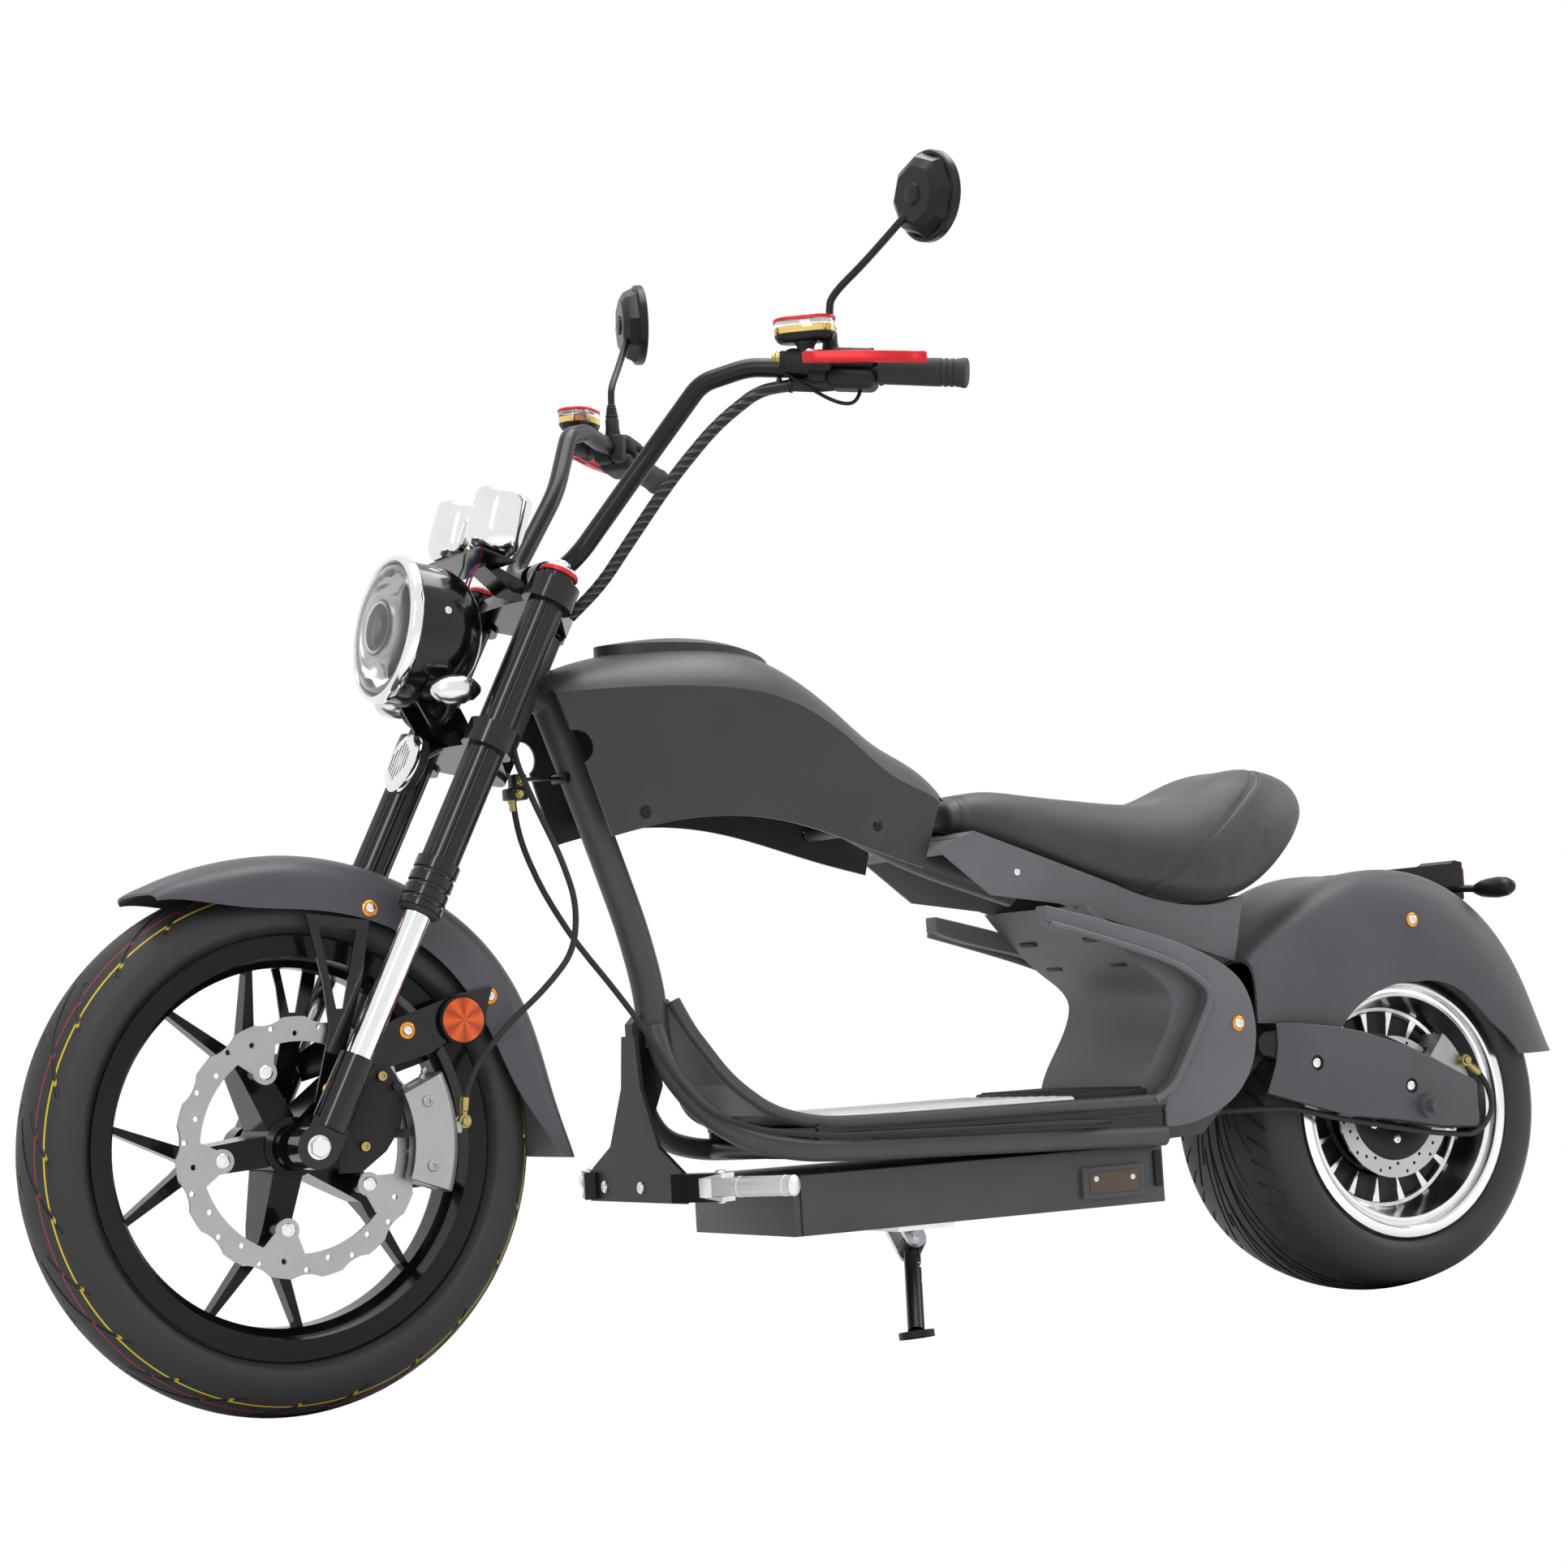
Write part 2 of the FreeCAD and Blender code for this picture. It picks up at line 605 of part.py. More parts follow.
cheek_y = 26.0
lamp_room = turned(cyl(lamp_centre, lamp_centre + X * 62, bucket_r + seat_gap / 2), lamp_centre, Y, lamp_tilt)
signals = []
for side in (-1, 1):
    y = side * 78
    tip = V(-580, y, 788)
    profile = [tip, tip + V(10, 0, 12), tip + V(30, 0, 17), tip + V(42, 0, 15), tip + V(58, 0, 5),
               tip + V(60, 0, 0)]
    bullet = spin(polygon(profile), tip, X)
    stalk = bent_tube([V(-550, y, 788), V(-548, y * 0.72, 766), V(-546, side * (cheek_y + 5), 757),
                       V(-546, side * (cheek_y + seat_gap), 757)], 5)
    signals.append(fuse([bullet, stalk]))
horn_c = V(-588, 0, 716)
horn = turned(cyl(horn_c, horn_c + V(24, 0, 0), 36).cut(
    Part.makeCompound([box(horn_c.x - 1, horn_c.x + 5, -22, 22, horn_c.z + h, horn_c.z + h + 4)
                       for h in (-20, -10, 0, 10)])), horn_c, Y, 24)
nodes["front_signals"] = Part.makeCompound(signals + [horn])

# Black sheet bracket on the clamps: strap under the lamp, cheeks, horn post and gauge plate
strap_face = polygon([lamp_centre + V(d, 0, -r) for d, r in
                      ((34, bucket_r + seat_gap), (34, bucket_r + 3.3), (58, bucket_r + 3.3),
                       (58, bucket_r + seat_gap))])
strap_face.rotate(lamp_centre, X, -50)
strap = turned(spin(strap_face, lamp_centre, X, 100), lamp_centre, Y, lamp_tilt)
cheek = prism_y([(-574, 782), (-520, 772), (-508, 748), (-530, 726), (-552, 742)], -cheek_y, -cheek_y + 4)
horn_post = cyl(V(-574, 0, 714), V(-530, 0, 734), 6)
gauge_base = V(-487, 0, 945) - cup_axis * (3 + seat_gap)
gauge_plate = turned(box(gauge_base.x - 20, gauge_base.x + 26, -72, 72, gauge_base.z, gauge_base.z + 3),
                     gauge_base, Y, 20)
tongue = prism_y([(-478, 936), (-474, 942), (-428, 918), (-428, 906), (-440, 902)], -22, 22)
bracket_parts = [strap] + both(cheek) + [horn_post, gauge_plate, tongue]
horn_room = turned(cyl(horn_c - X * 2, horn_c + X * (24 + seat_gap), 37), horn_c, Y, 24)
nodes["stem_clamps"] = fuse([clamps] + bracket_parts).cut(lamp_room).cut(horn_room)

# Handlebar
bar_centre = in_fork(Part.Vertex(V(14, 0, bar_s))).Point
half_bar = [bar_centre, V(bar_centre.x, -84, bar_centre.z), V(-312, -118, 1048), V(-264, -170, 1128),
            V(-222, -208, 1141), V(-36, -370, 1111)]
path = [V(p.x, -p.y, p.z) for p in reversed(half_bar[1:])] + half_bar[1:]
nodes["handlebar"] = bent_tube(path, bar_r, 0.25)
grip_dir = (half_bar[-1] - half_bar[-2]).normalize()
grip_end = half_bar[-1]


def at_bar(distance):
    """Point on the straight end of the left bar, measured back from its tip."""
    return grip_end - grip_dir * distance


grips = []
grip_l = tube(at_bar(96), at_bar(-4), 16, bar_r + seat_gap)
end_cap = cyl(at_bar(-seat_gap), at_bar(-4), 16)
grip = fuse([grip_l, end_cap])
nodes["grips"] = Part.makeCompound(both(grip))

switch = tube(at_bar(143), at_bar(98), 24, bar_r + seat_gap)
lever_side = V(grip_dir.y, -grip_dir.x, 0).normalize()
if lever_side.x > 0:
    lever_side = lever_side * -1
cyl_a = at_bar(146) + lever_side * 36 + Z * 4
cyl_b = at_bar(214) + lever_side * 33 + Z * 6
clamp = tube(at_bar(168), at_bar(144), 19, bar_r + seat_gap)
link = cyl(at_bar(156) + lever_side * 17, at_bar(158) + lever_side * 34 + Z * 4, 9)
cylinder = cyl(cyl_a, cyl_b, 12)
mirror_boss = cyl(at_bar(152) + Z * 17, at_bar(152) + Z * 44, 9)
res_base = at_bar(168) + lever_side * 36 + Z * 24.5
res_neck = cyl(res_base - Z * 15, res_base - Z * seat_gap, 9)
nodes["controls"] = Part.makeCompound(both(fuse(
    [switch, clamp, link, cylinder, mirror_boss, res_neck]).cut(
        cyl(at_bar(250), at_bar(60), bar_r + seat_gap))))

res_r = 22.0
res_h = 27.0
res_along = V(grip_dir.x, grip_dir.y, 0).normalize() * 12
res_side = lever_side * res_r
res_mid = polygon([res_base - res_along - res_side, res_base + res_along - res_side,
                   res_base + res_along + res_side, res_base - res_along + res_side]).extrude(Z * res_h)
reservoir = fuse([res_mid, cyl(res_base - res_along, res_base - res_along + Z * res_h, res_r),
                  cyl(res_base + res_along, res_base + res_along + Z * res_h, res_r)])
nodes["reservoirs"] = Part.makeCompound(both(reservoir))

lever_root = at_bar(172) + lever_side * 53.6 + Z * 2
lever_tip = at_bar(40) + lever_side * 44 + Z * 12
lever_mid = at_bar(106) + lever_side * 53 + Z * 6
lever = bent_tube([lever_root, lever_mid, lever_tip], 5.5)
nodes["levers"] = Part.makeCompound(both(lever))

# Mirrors
mirror_r = 52.0
mirror_c = V(-54, -357, 1315)
socket_base = at_bar(152) + Z * (44 + seat_gap)
boot_top = socket_base + Z * 16
stem_bend = socket_base + V(3, -3, 40)
profile = [(0, 0), (0, mirror_r), (10, mirror_r), (24, mirror_r * 0.8), (30, mirror_r * 0.55), (30, 0)]


def mirror_at(inward_deg):
    """Left mirror on its stem, its back turned inward from straight ahead by an angle."""
    turn = math.radians(inward_deg)
    face_dir = V(-math.cos(turn), math.sin(turn), 0)
    stem_tube = bent_tube([socket_base + Z * 4, stem_bend, mirror_c + face_dir * 14], 4.5)
    socket_nut = cyl(socket_base, boot_top, 7.5)
    shell = spin(polygon([mirror_c + face_dir * d + Z * r for d, r in profile]), mirror_c, face_dir)
    return fuse([stem_tube, socket_nut, shell])


nodes["mirrors"] = Part.makeCompound([mirror_at(10), mirror(mirror_at(-23))])

# Frame: head tube, downtube and the tube under the tank
head_low = lower_clamp_s + clamp_h / 2 + 2
head_high = upper_clamp_s - clamp_h / 2 - 2
head_tube = in_fork(cyl(V(fork_offset, 0, head_low), V(fork_offset, 0, head_high), head_tube_r))
down_path = [V(-417, 0, 826), V(-386, 0, 748), V(-338, 0, 614), V(-303, 0, 512), V(-286, 0, 440),
             V(-283, 0, 376)]
top_path = [V(-428, 0, 792), V(-300, 0, 748), V(-110, 0, 690), V(70, 0, 592), V(230, 0, 540)]
down_tube = bent_tube(down_path, down_r)
top_tube = bent_tube(top_path, top_tube_r)
stem_bore = in_fork(cyl(V(fork_offset, 0, head_low - 60), V(fork_offset, 0, head_high + 60),
                        stem_r + running_gap))
tank_boss_at = [(-322, 645, 80.7), (-12, 622, 75.2)]
tank_bosses = [cyl(V(x, -reach, z), V(x, reach, z), 8) for x, z, reach in tank_boss_at]
nodes["main_frame"] = fuse([head_tube, down_tube, top_tube] + tank_bosses).cut(stem_bore)

loop_join = 346.0
pivot_at = V(507, 0, 332)
pivot_r = 14.0

# Floor: side rails, trim tubes, cross tubes and deck
rail_path = [V(-290, -14, 398), V(-288, -34, 352), V(-266, -70, 300), V(-224, -103, 262),
             V(-164, -124, 247), V(-90, -rail_half, 243), V(loop_join - 0.6, -rail_half, 230)]
trim_path = [V(-262, -14, 428), V(-250, -26, 394), V(-221, -64, 330), V(-186, -98, 292),
             V(-140, -124, 277), V(-70, -trim_half, 275), V(loop_join - 0.6, -trim_half, 273)]
rails = both(bent_tube(rail_path, rail_r))
trims = both(bent_tube(trim_path, trim_r))
crosses = [cyl(V(x, -rail_half, z), V(x, rail_half, z), 9)
           for x, z in ((-150, 245), (10, 239), (170, 234), (330, box_z1 + seat_gap + 9))]
deck = box(-150, 346, -trim_half + 4, trim_half - 4, deck_z - deck_t, deck_z)
shield_points = trim_path[:5] + [V(-128, -trim_half + 4, deck_z - 1)]
shield_rows = []
for p in shield_points:
    w = abs(p.y) - 2
    shield_rows.append(Part.makePolygon([V(p.x, -w, p.z), V(p.x, w, p.z), V(p.x - 3, w, p.z - 3),
                                         V(p.x - 3, -w, p.z - 3), V(p.x, -w, p.z)]))
shield = loft(shield_rows, True)
edge_plate = box(-150, 262, -123, -119, 240, deck_z - deck_t + 1)
hanger = prism_y([(322, 222), (322, 238), (400, 262), (488, 348), (507, 354), (528, 340), (526, 316),
                  (420, 226)], -106, -100)
floor = fuse(rails + trims + crosses + [deck, shield] + both(edge_plate) + both(hanger)).cut(nodes["main_frame"])
nodes["floor_frame"] = floor.cut(cyl(pivot_at - Y * 120, pivot_at + Y * 120, pivot_r + seat_gap))

# Side loops
loop_out = [(188, 517), (250, 502), (318, 484), (438, 440), (476, 410), (491, 369), (490, 329), (464, 280),
            (412, 249), (346, 240)]
loop_in = [(346, 282), (364, 294), (390, 334), (418, 380), (426, 398), (416, 413), (379, 438), (290, 468), (188, 497)]
loop_half = 137.0
loop_deep = 112.0
loop_outer_edge = smooth([V(x, -loop_half, z) for x, z in loop_out])
loop_inner_edge = smooth([V(x, -loop_half, z) for x, z in loop_in])
edges = [loop_outer_edge,
         Part.LineSegment(V(346, -loop_half, 240), V(346, -loop_half, 282)).toShape(),
         loop_inner_edge,
         Part.LineSegment(V(188, -loop_half, 497), V(188, -loop_half, 517)).toShape()]
loop = face_of(edges).extrude(Y * (loop_half - loop_deep))
nodes["side_loops"] = Part.makeCompound(both(loop))

# Tank cover
tank_stations = [
    # x, low z, crease z, top z, low half, crease half
    (-425, 600, 786, 800, 60, 66), (-380, 614, 787, 822, 72, 84), (-320, 628, 788, 836, 84, 106),
    (-240, 638, 786, 846, 92, 118), (-150, 632, 772, 836, 92, 118), (-60, 608, 727, 786, 86, 108),
    (20, 582, 676, 728, 76, 90), (100, 556, 636, 676, 62, 70),
]


def tank_section(x, z_low, z_crease, z_top, low_half, crease_half, inset):
    zl = z_low - 1 if inset > 0 else z_low
    wl = low_half - inset
    wc = crease_half - inset
    zt = z_top - inset
    zc = z_crease - inset * 0.6
    dome = [V(x, -wc, zc), V(x, -wc * 0.78, zc + (zt - zc) * 0.5), V(x, -wc * 0.4, zc + (zt - zc) * 0.88),
            V(x, 0, zt), V(x, wc * 0.4, zc + (zt - zc) * 0.88), V(x, wc * 0.78, zc + (zt - zc) * 0.5),
            V(x, wc, zc)]
    return Part.Wire([
        Part.LineSegment(V(x, -wl, zl), V(x, -wc, zc)).toShape(), smooth(dome),
        Part.LineSegment(V(x, wc, zc), V(x, wl, zl)).toShape(),
        Part.LineSegment(V(x, wl, zl), V(x, -wl, zl)).toShape()])


tank_body = loft([tank_section(*s, 0.0) for s in tank_stations])
tank_hollow = loft([tank_section(*s, sheet) for s in tank_stations])
tank_side = [(-424, 800), (-418, 840), (-330, 900), (140, 900), (140, 640), (86, 655), (60, 572),
             (60, 500), (-361, 500), (-361, 617), (-389, 703), (-420, 786)]
trim_prism = prism_y(tank_side, -150, 150)
lid_plan = []
for k in range(24):
    a = 2 * math.pi * k / 24
    lid_plan.append(V(-218 + 112 * math.cos(a), 58 * math.sin(a), 700))
lid_prism = Part.Face(closed_smooth(lid_plan)).extrude(Z * 250)
lid_blank = tank_body.copy()
lid_blank.rotate(V(-330, 0, 840), Y, 1.6)
lid_blank.translate(Z * 12)
lid = lid_blank.common(lid_prism)
tank = fuse([tank_body, lid]).common(trim_prism)
notch = cyl(V(-400, -150, 722), V(-400, 150, 722), 20)
tank_bolts = [cyl(V(x, -150, z), V(x, 150, z), 6.5) for x, z, reach in tank_boss_at]
head_room = in_fork(cyl(V(fork_offset, 0, head_low - 60), V(fork_offset, 0, head_high + 60),
                        head_tube_r + 5))
tank_room = [tank_hollow, head_room, bent_tube(down_path, down_r + 2), notch] + tank_bolts
for room in tank_room:
    tank = tank.cut(room)
nodes["tank_cover"] = tank

# Seat
seat_stations = [
    # x, low z, top z, half
    (112, 618, 652, 50), (150, 606, 663, 66), (230, 578, 656, 88), (320, 546, 645, 112),
    (400, 528, 640, 130), (465, 524, 652, 136), (528, 538, 676, 132), (580, 566, 683, 118),
    (624, 598, 672, 92), (646, 620, 648, 60),
]


def seat_section(x, low, top, half):
    h = top - low
    return closed_smooth([
        V(x, -half * 0.86, low), V(x, -half, low + h * 0.4), V(x, -half * 0.84, low + h * 0.8),
        V(x, -half * 0.4, top), V(x, 0, top), V(x, half * 0.4, top), V(x, half * 0.84, low + h * 0.8),
        V(x, half, low + h * 0.4), V(x, half * 0.86, low), V(x, 0, low)])


nodes["seat"] = loft([seat_section(*s) for s in seat_stations])

# Seat cowl: side skirts below the seat and the scoop panel
cowl_low = [(66, 592), (140, 534), (240, 520), (359, 482), (500, 438), (520, 520), (480, 519), (400, 521),
            (325, 540), (200, 584), (120, 612)]
cowl = prism_y(cowl_low, -92, 92)
cowl_inner = prism_y([(60, 570), (144, 528), (240, 514), (359, 476), (500, 400), (540, 500), (480, 513),
                      (400, 515), (325, 534), (200, 578), (100, 606)], -88, 88)
seat_low = nodes["seat"].copy()
seat_low.translate(Z * -seat_gap)
top_tube_room = bent_tube(top_path, top_tube_r + seat_gap)
skirt = cowl.cut(cowl_inner).cut(nodes["seat"]).cut(seat_low).cut(top_tube_room)
scoop_line = [(262, 516), (300, 474), (350, 431), (372, 414), (383, 396), (380, 376), (352, 328),
              (333, 292), (330, deck_z + seat_gap)]
scoop_half = loop_deep - seat_gap
scoop_front = smooth([V(x, -scoop_half, z) for x, z in scoop_line])
scoop_back = smooth([V(x + 4, -scoop_half, z) for x, z in reversed(scoop_line)])
scoop_edges = [
    scoop_front,
    Part.LineSegment(V(330, -scoop_half, deck_z + seat_gap), V(334, -scoop_half, deck_z + seat_gap)).toShape(),
    scoop_back,
    Part.LineSegment(V(266, -scoop_half, 516), V(262, -scoop_half, 516)).toShape()]
scoop = face_of(scoop_edges).extrude(Y * (2 * scoop_half))
wall_edges = [
    scoop_front, scoop_edges[1],
    Part.makePolygon([V(334, -scoop_half, deck_z + seat_gap), V(400, -scoop_half, 282), V(452, -scoop_half, 330),
                      V(462, -scoop_half, 372), V(438, -scoop_half, 418), V(380, -scoop_half, 456),
                      V(310, -scoop_half, 484), V(266, -scoop_half, 516)]),
    scoop_edges[3]]
side_wall = face_of([e for w in wall_edges for e in w.Edges]).extrude(Y * 3)
nodes["seat_cowl"] = fuse([skirt, scoop] + both(side_wall))

# Battery
box_outer = box(box_x0, box_x1, -box_half, box_half, box_z0, box_z1)
box_inner = box(box_x0 + box_wall, box_x1 - box_wall, -box_half + box_wall, box_half - box_wall,
                box_z0 + box_wall, box_z1 - box_wall)
holder = box(225, 312, -box_half - 6, -box_half, 162, 196)
nodes["battery_box"] = fuse([box_outer.cut(box_inner), holder])
nodes["battery_pack"] = box(box_x0 + 30, box_x1 - 60, -box_half + 12, box_half - 12,
                            box_z0 + box_wall, box_z1 - 8)

# Brackets
peg_plate_x = -318.0
plate = polygon([V(peg_plate_x, -118, 198), V(peg_plate_x, 118, 198), V(peg_plate_x, 118, 232),
                 V(peg_plate_x, 60, 262), V(peg_plate_x, 24, 330), V(peg_plate_x, 16, 390),
                 V(peg_plate_x, -16, 390), V(peg_plate_x, -24, 330), V(peg_plate_x, -60, 262),
                 V(peg_plate_x, -118, 232)]).extrude(V(5, 0, 0))
gusset = prism_y([(-316, 404), (-304, 416), (-280, 404), (-280, 330), (-300, 280), (-316, 225)], -9, 9)
peg_mount = fuse([plate, gusset]).cut(nodes["main_frame"]).cut(nodes["floor_frame"])

# Swingarm
axle_end = 10.0
arm_y0 = 121.0
arm_y1 = 139.0
arm_plate = prism_y([(521, 357), (689, 335), (767, 301), (838, 264), (842, 206), (785, 208), (602, 241),
                     (499, 270), (516, 300), (522, 330)], -arm_y1, -arm_y0)
arm_eye = cyl(pivot_at - Y * arm_y1, pivot_at - Y * 114, pivot_r + 1)
arm_web = prism_y([(507, 346), (545, 352), (545, 300), (507, 318)], -arm_y1, -arm_y0)
arm = fuse([arm_plate, arm_eye, arm_web])
pivot = cyl(pivot_at - Y * 116, pivot_at + Y * 116, pivot_r)
slot = cyl(V(rear_x, -arm_y1 - 2, rear_tyre_r), V(rear_x, -arm_y0 + 2, rear_tyre_r),
           rear_axle_r + 0.5)
nodes["swingarm"] = fuse([arm.cut(slot), mirror(arm.cut(slot)), pivot])
nodes["rear_axle"] = fuse([
    cyl(rear_axle - Y * (arm_y1 + 12 + axle_end), rear_axle + Y * (arm_y1 + 12 + axle_end), rear_axle_r),
    cyl(rear_axle - Y * (arm_y1 + 12), rear_axle - Y * (arm_y1 + seat_gap), 15),
    cyl(rear_axle + Y * (arm_y1 + seat_gap), rear_axle + Y * (arm_y1 + 12), 15)])

# Rear fender
rf_half = 127.0
rf_over = 67.0
rf_r = rear_tyre_r + rf_over
rear_fender_stations = [
    # degrees from the top, crown, shoulder height, shoulder half width
    (-76, 4, -10, 114), (-40, 4, -8, 114), (-12, 0, -13, 114), (10, -2, -17, 114), (30, -6, -30, 110),
    (50, -10, -44, 104), (70, -12, -50, 100), (80, -7, -44, 102),
]


def rf_row(degrees, crown, drop, shoulder, inset):
    angle = math.radians(degrees)
    half = rf_half - inset
    rows = [(half, 160), (half, rf_r + drop - 42), (shoulder - inset, rf_r + drop - inset * 0.8),
            (0, rf_r + crown - inset)]
    left = [polar(rear_axle, r, angle, -y) for y, r in rows]
    right = [polar(rear_axle, r, angle, y) for y, r in reversed(rows[:-1])]
    return left + right


rf_wires = []
for station in rear_fender_stations:
    outer = rf_row(*station, 0.0)
    inner = rf_row(*station, sheet)
    rf_wires.append(Part.Wire([
        smooth(outer), Part.LineSegment(outer[-1], inner[-1]).toShape(),
        smooth(list(reversed(inner))), Part.LineSegment(inner[0], outer[0]).toShape()]))
rf_shell = loft(rf_wires)
arch = smooth_prism_y([(640, 200), (680, 330), (706, 372), (769, 398), (835, 385), (880, 345), (919, 306),
                       (930, 200), (780, 120)], -200, 200)
below = box(400, 1200, -200, 200, 0, 296)
on_arm = prism_y([(300, 0), (300, 372), (521, 357 + seat_gap), (689, 335 + seat_gap), (700, 331), (700, 0)],
                 -200, 200)
front_low = on_arm.fuse(box(300, 502, -200, 200, 300, 700))
nodes["rear_fender"] = rf_shell.cut(arch).cut(below).cut(front_low)

# Tail
tail_end = rear_x + 182.0
tail_top = rear_tyre_r + rf_r + 12.0
tail_profile = [(rear_x - 8, tail_top - 11), (rear_x + 82, tail_top - 7), (tail_end - 20, tail_top - 3),
                (tail_end - 12, tail_top + 1), (tail_end, tail_top - 2), (tail_end, tail_top - 50),
                (tail_end - 30, tail_top - 80), (rear_x - 8, tail_top - 40)]
tail_parts = prism_y(tail_profile, -34, 34).cut(nodes["rear_fender"]).Solids
nodes["tail_bracket"] = max(tail_parts, key=lambda part: part.CenterOfMass.z)
lamp = box(tail_end + seat_gap, tail_end + 8, -30, 30, tail_top - 42, tail_top - 8)
rear_sig = []
for side in (-1, 1):
    leaf_at = V(tail_end - 6, 0, tail_top - 40)
    stalk = bent_tube([V(tail_end - 20, side * 34.3, leaf_at.z + 2), V(tail_end - 20, side * 50, leaf_at.z + 2),
                       V(leaf_at.x, side * 74, leaf_at.z)], 5)
    leaf = loft([closed_smooth([V(leaf_at.x + dx, side * yy, leaf_at.z + dz) for dx, dz in
                                ((-w, 0), (0, -h), (w, 0), (0, h))])
                 for yy, w, h in ((66, 6, 6), (86, 12, 14), (110, 13, 15), (140, 4, 5))])
    rear_sig.append(fuse([stalk, leaf]))
nodes["rear_lamps"] = Part.makeCompound([lamp] + rear_sig)

# Rear caliper
rc_face = polygon([polar(rear_axle, r, math.radians(40), y)
                   for y, r in [(-94, 66), (-94, 118), (-55, 118), (-55, 66)]])
rc_body = spin(rc_face, rear_axle, Y, 44)
rc_slot = tube(rear_axle + Y * (rear_disc_y - 5), rear_axle + Y * (rear_disc_y + 5), rear_disc_r + 4, 30)
rc_lug = cyl(V(830, -92, 257), V(830, -arm_y0 + seat_gap, 257), 8)
nodes["rear_caliper"] = fuse([rc_body.cut(rc_slot), rc_lug])

# Stand leg
stand_pivot = V(4, -78, box_z0 - 6 - 20)

# Ground plane that touches both tyres when the machine leans to its left
lean = math.radians(lean_deg)
ny = math.sin(lean)


def touch(nx, centre, radius, crown):
    nz = math.sqrt(1 - ny * ny - nx * nx)
    reach = (radius - crown) * math.sqrt(nx * nx + nz * nz) + crown
    return nx * centre.x + nz * centre.z - reach


lo = -0.05
hi = 0.05
for _ in range(60):
    nx = (lo + hi) / 2
    gap = (touch(nx, front_axle, front_tyre_r, front_crown_r)
           - touch(nx, rear_axle, rear_tyre_r, rear_crown_r))
    if gap > 0:
        lo = nx
    else:
        hi = nx
nz = math.sqrt(1 - ny * ny - nx * nx)
normal = V(nx, ny, nz)
level = touch(nx, front_axle, front_tyre_r, front_crown_r)


def ground_z(x, y):
    return (level - nx * x - ny * y) / nz


foot_x = -46.0
foot_y = -158.0
foot_ground = V(foot_x, foot_y, ground_z(foot_x, foot_y))
pad_t = 8.0
leg_low = foot_ground + normal * (pad_t - 1)
leg_dir = (leg_low - stand_pivot).normalize()
stowed_dir = V(0.97, -0.2, -0.1).normalize()
stand_axis = leg_dir.cross(stowed_dir).normalize()
eye_half = 12.0
pad = cyl(foot_ground, foot_ground + normal * pad_t, 21)
leg_rod = cyl(leg_low, stand_pivot, 10)
leg_eye = cyl(stand_pivot - stand_axis * eye_half, stand_pivot + stand_axis * eye_half, 14)
stand_pin_r = 5.0
pin_hole = cyl(stand_pivot - stand_axis * 40, stand_pivot + stand_axis * 40, stand_pin_r + running_gap)
nodes["stand_leg"] = fuse([pad, leg_rod, leg_eye]).cut(pin_hole)
cheeks = []
lift = (Z - stand_axis * Z.dot(stand_axis)).normalize()
across = lift.cross(stand_axis)
for start in (-eye_half - seat_gap - 5, eye_half + seat_gap):
    at = stand_pivot + stand_axis * start
    disc = cyl(at, at + stand_axis * 5, 13)
    lug = polygon([at - across * 13, at + across * 13, at + across * 16 + lift * 40,
                   at - across * 16 + lift * 40]).extrude(stand_axis * 5)
    cheeks += [disc, lug]
stand_pin = cyl(stand_pivot - stand_axis * (eye_half + 9), stand_pivot + stand_axis * (eye_half + 9), stand_pin_r)
stand_plate = box(-34, 44, -112, -44, box_z0 - 6, box_z0)
over = box(-200, 200, -300, 100, box_z0, box_z0 + 200)
stand_mount = fuse(cheeks + [stand_pin, stand_plate]).cut(over)

# Foot pegs
peg_dir = V(math.sin(math.radians(24)), -math.cos(math.radians(24)), 0)
peg_z = 216.0
clevis_root = V(peg_plate_x - 1, -104, peg_z)
pin_at = clevis_root + peg_dir * 62


def bar_block(a, direction, length, width, z0, z1):
    side = V(-direction.y, direction.x, 0) * (width / 2)
    pts = [a - side, a + side, a + side + direction * length, a - side + direction * length]
    return polygon([V(p.x, p.y, z0) for p in pts]).extrude(Z * (z1 - z0))


peg_solid = fuse([
    bar_block(pin_at - peg_dir * 8, peg_dir, 34, 16, peg_z - 10, peg_z + 10),
    cyl(pin_at + peg_dir * 22, pin_at + peg_dir * 100, 11.5)])
peg_hole = cyl(pin_at - Z * 20, pin_at + Z * 20, 4.0 + running_gap)
peg_left = peg_solid.cut(peg_hole)
clevis = fuse([
    bar_block(clevis_root, peg_dir, 40, 24, peg_z - 16, peg_z + 16),
    bar_block(clevis_root + peg_dir * 36, peg_dir, 36, 24, peg_z + 10.5, peg_z + 16),
    bar_block(clevis_root + peg_dir * 36, peg_dir, 36, 24, peg_z - 16, peg_z - 10.5),
    cyl(pin_at - Z * 18, pin_at + Z * 18, 4.0)])
clevises = [s.cut(peg_mount) for s in both(clevis)]
nodes["brackets"] = Part.makeCompound([peg_mount, stand_mount] + clevises)
nodes["peg_left"] = peg_left
nodes["peg_right"] = mirror(peg_left)

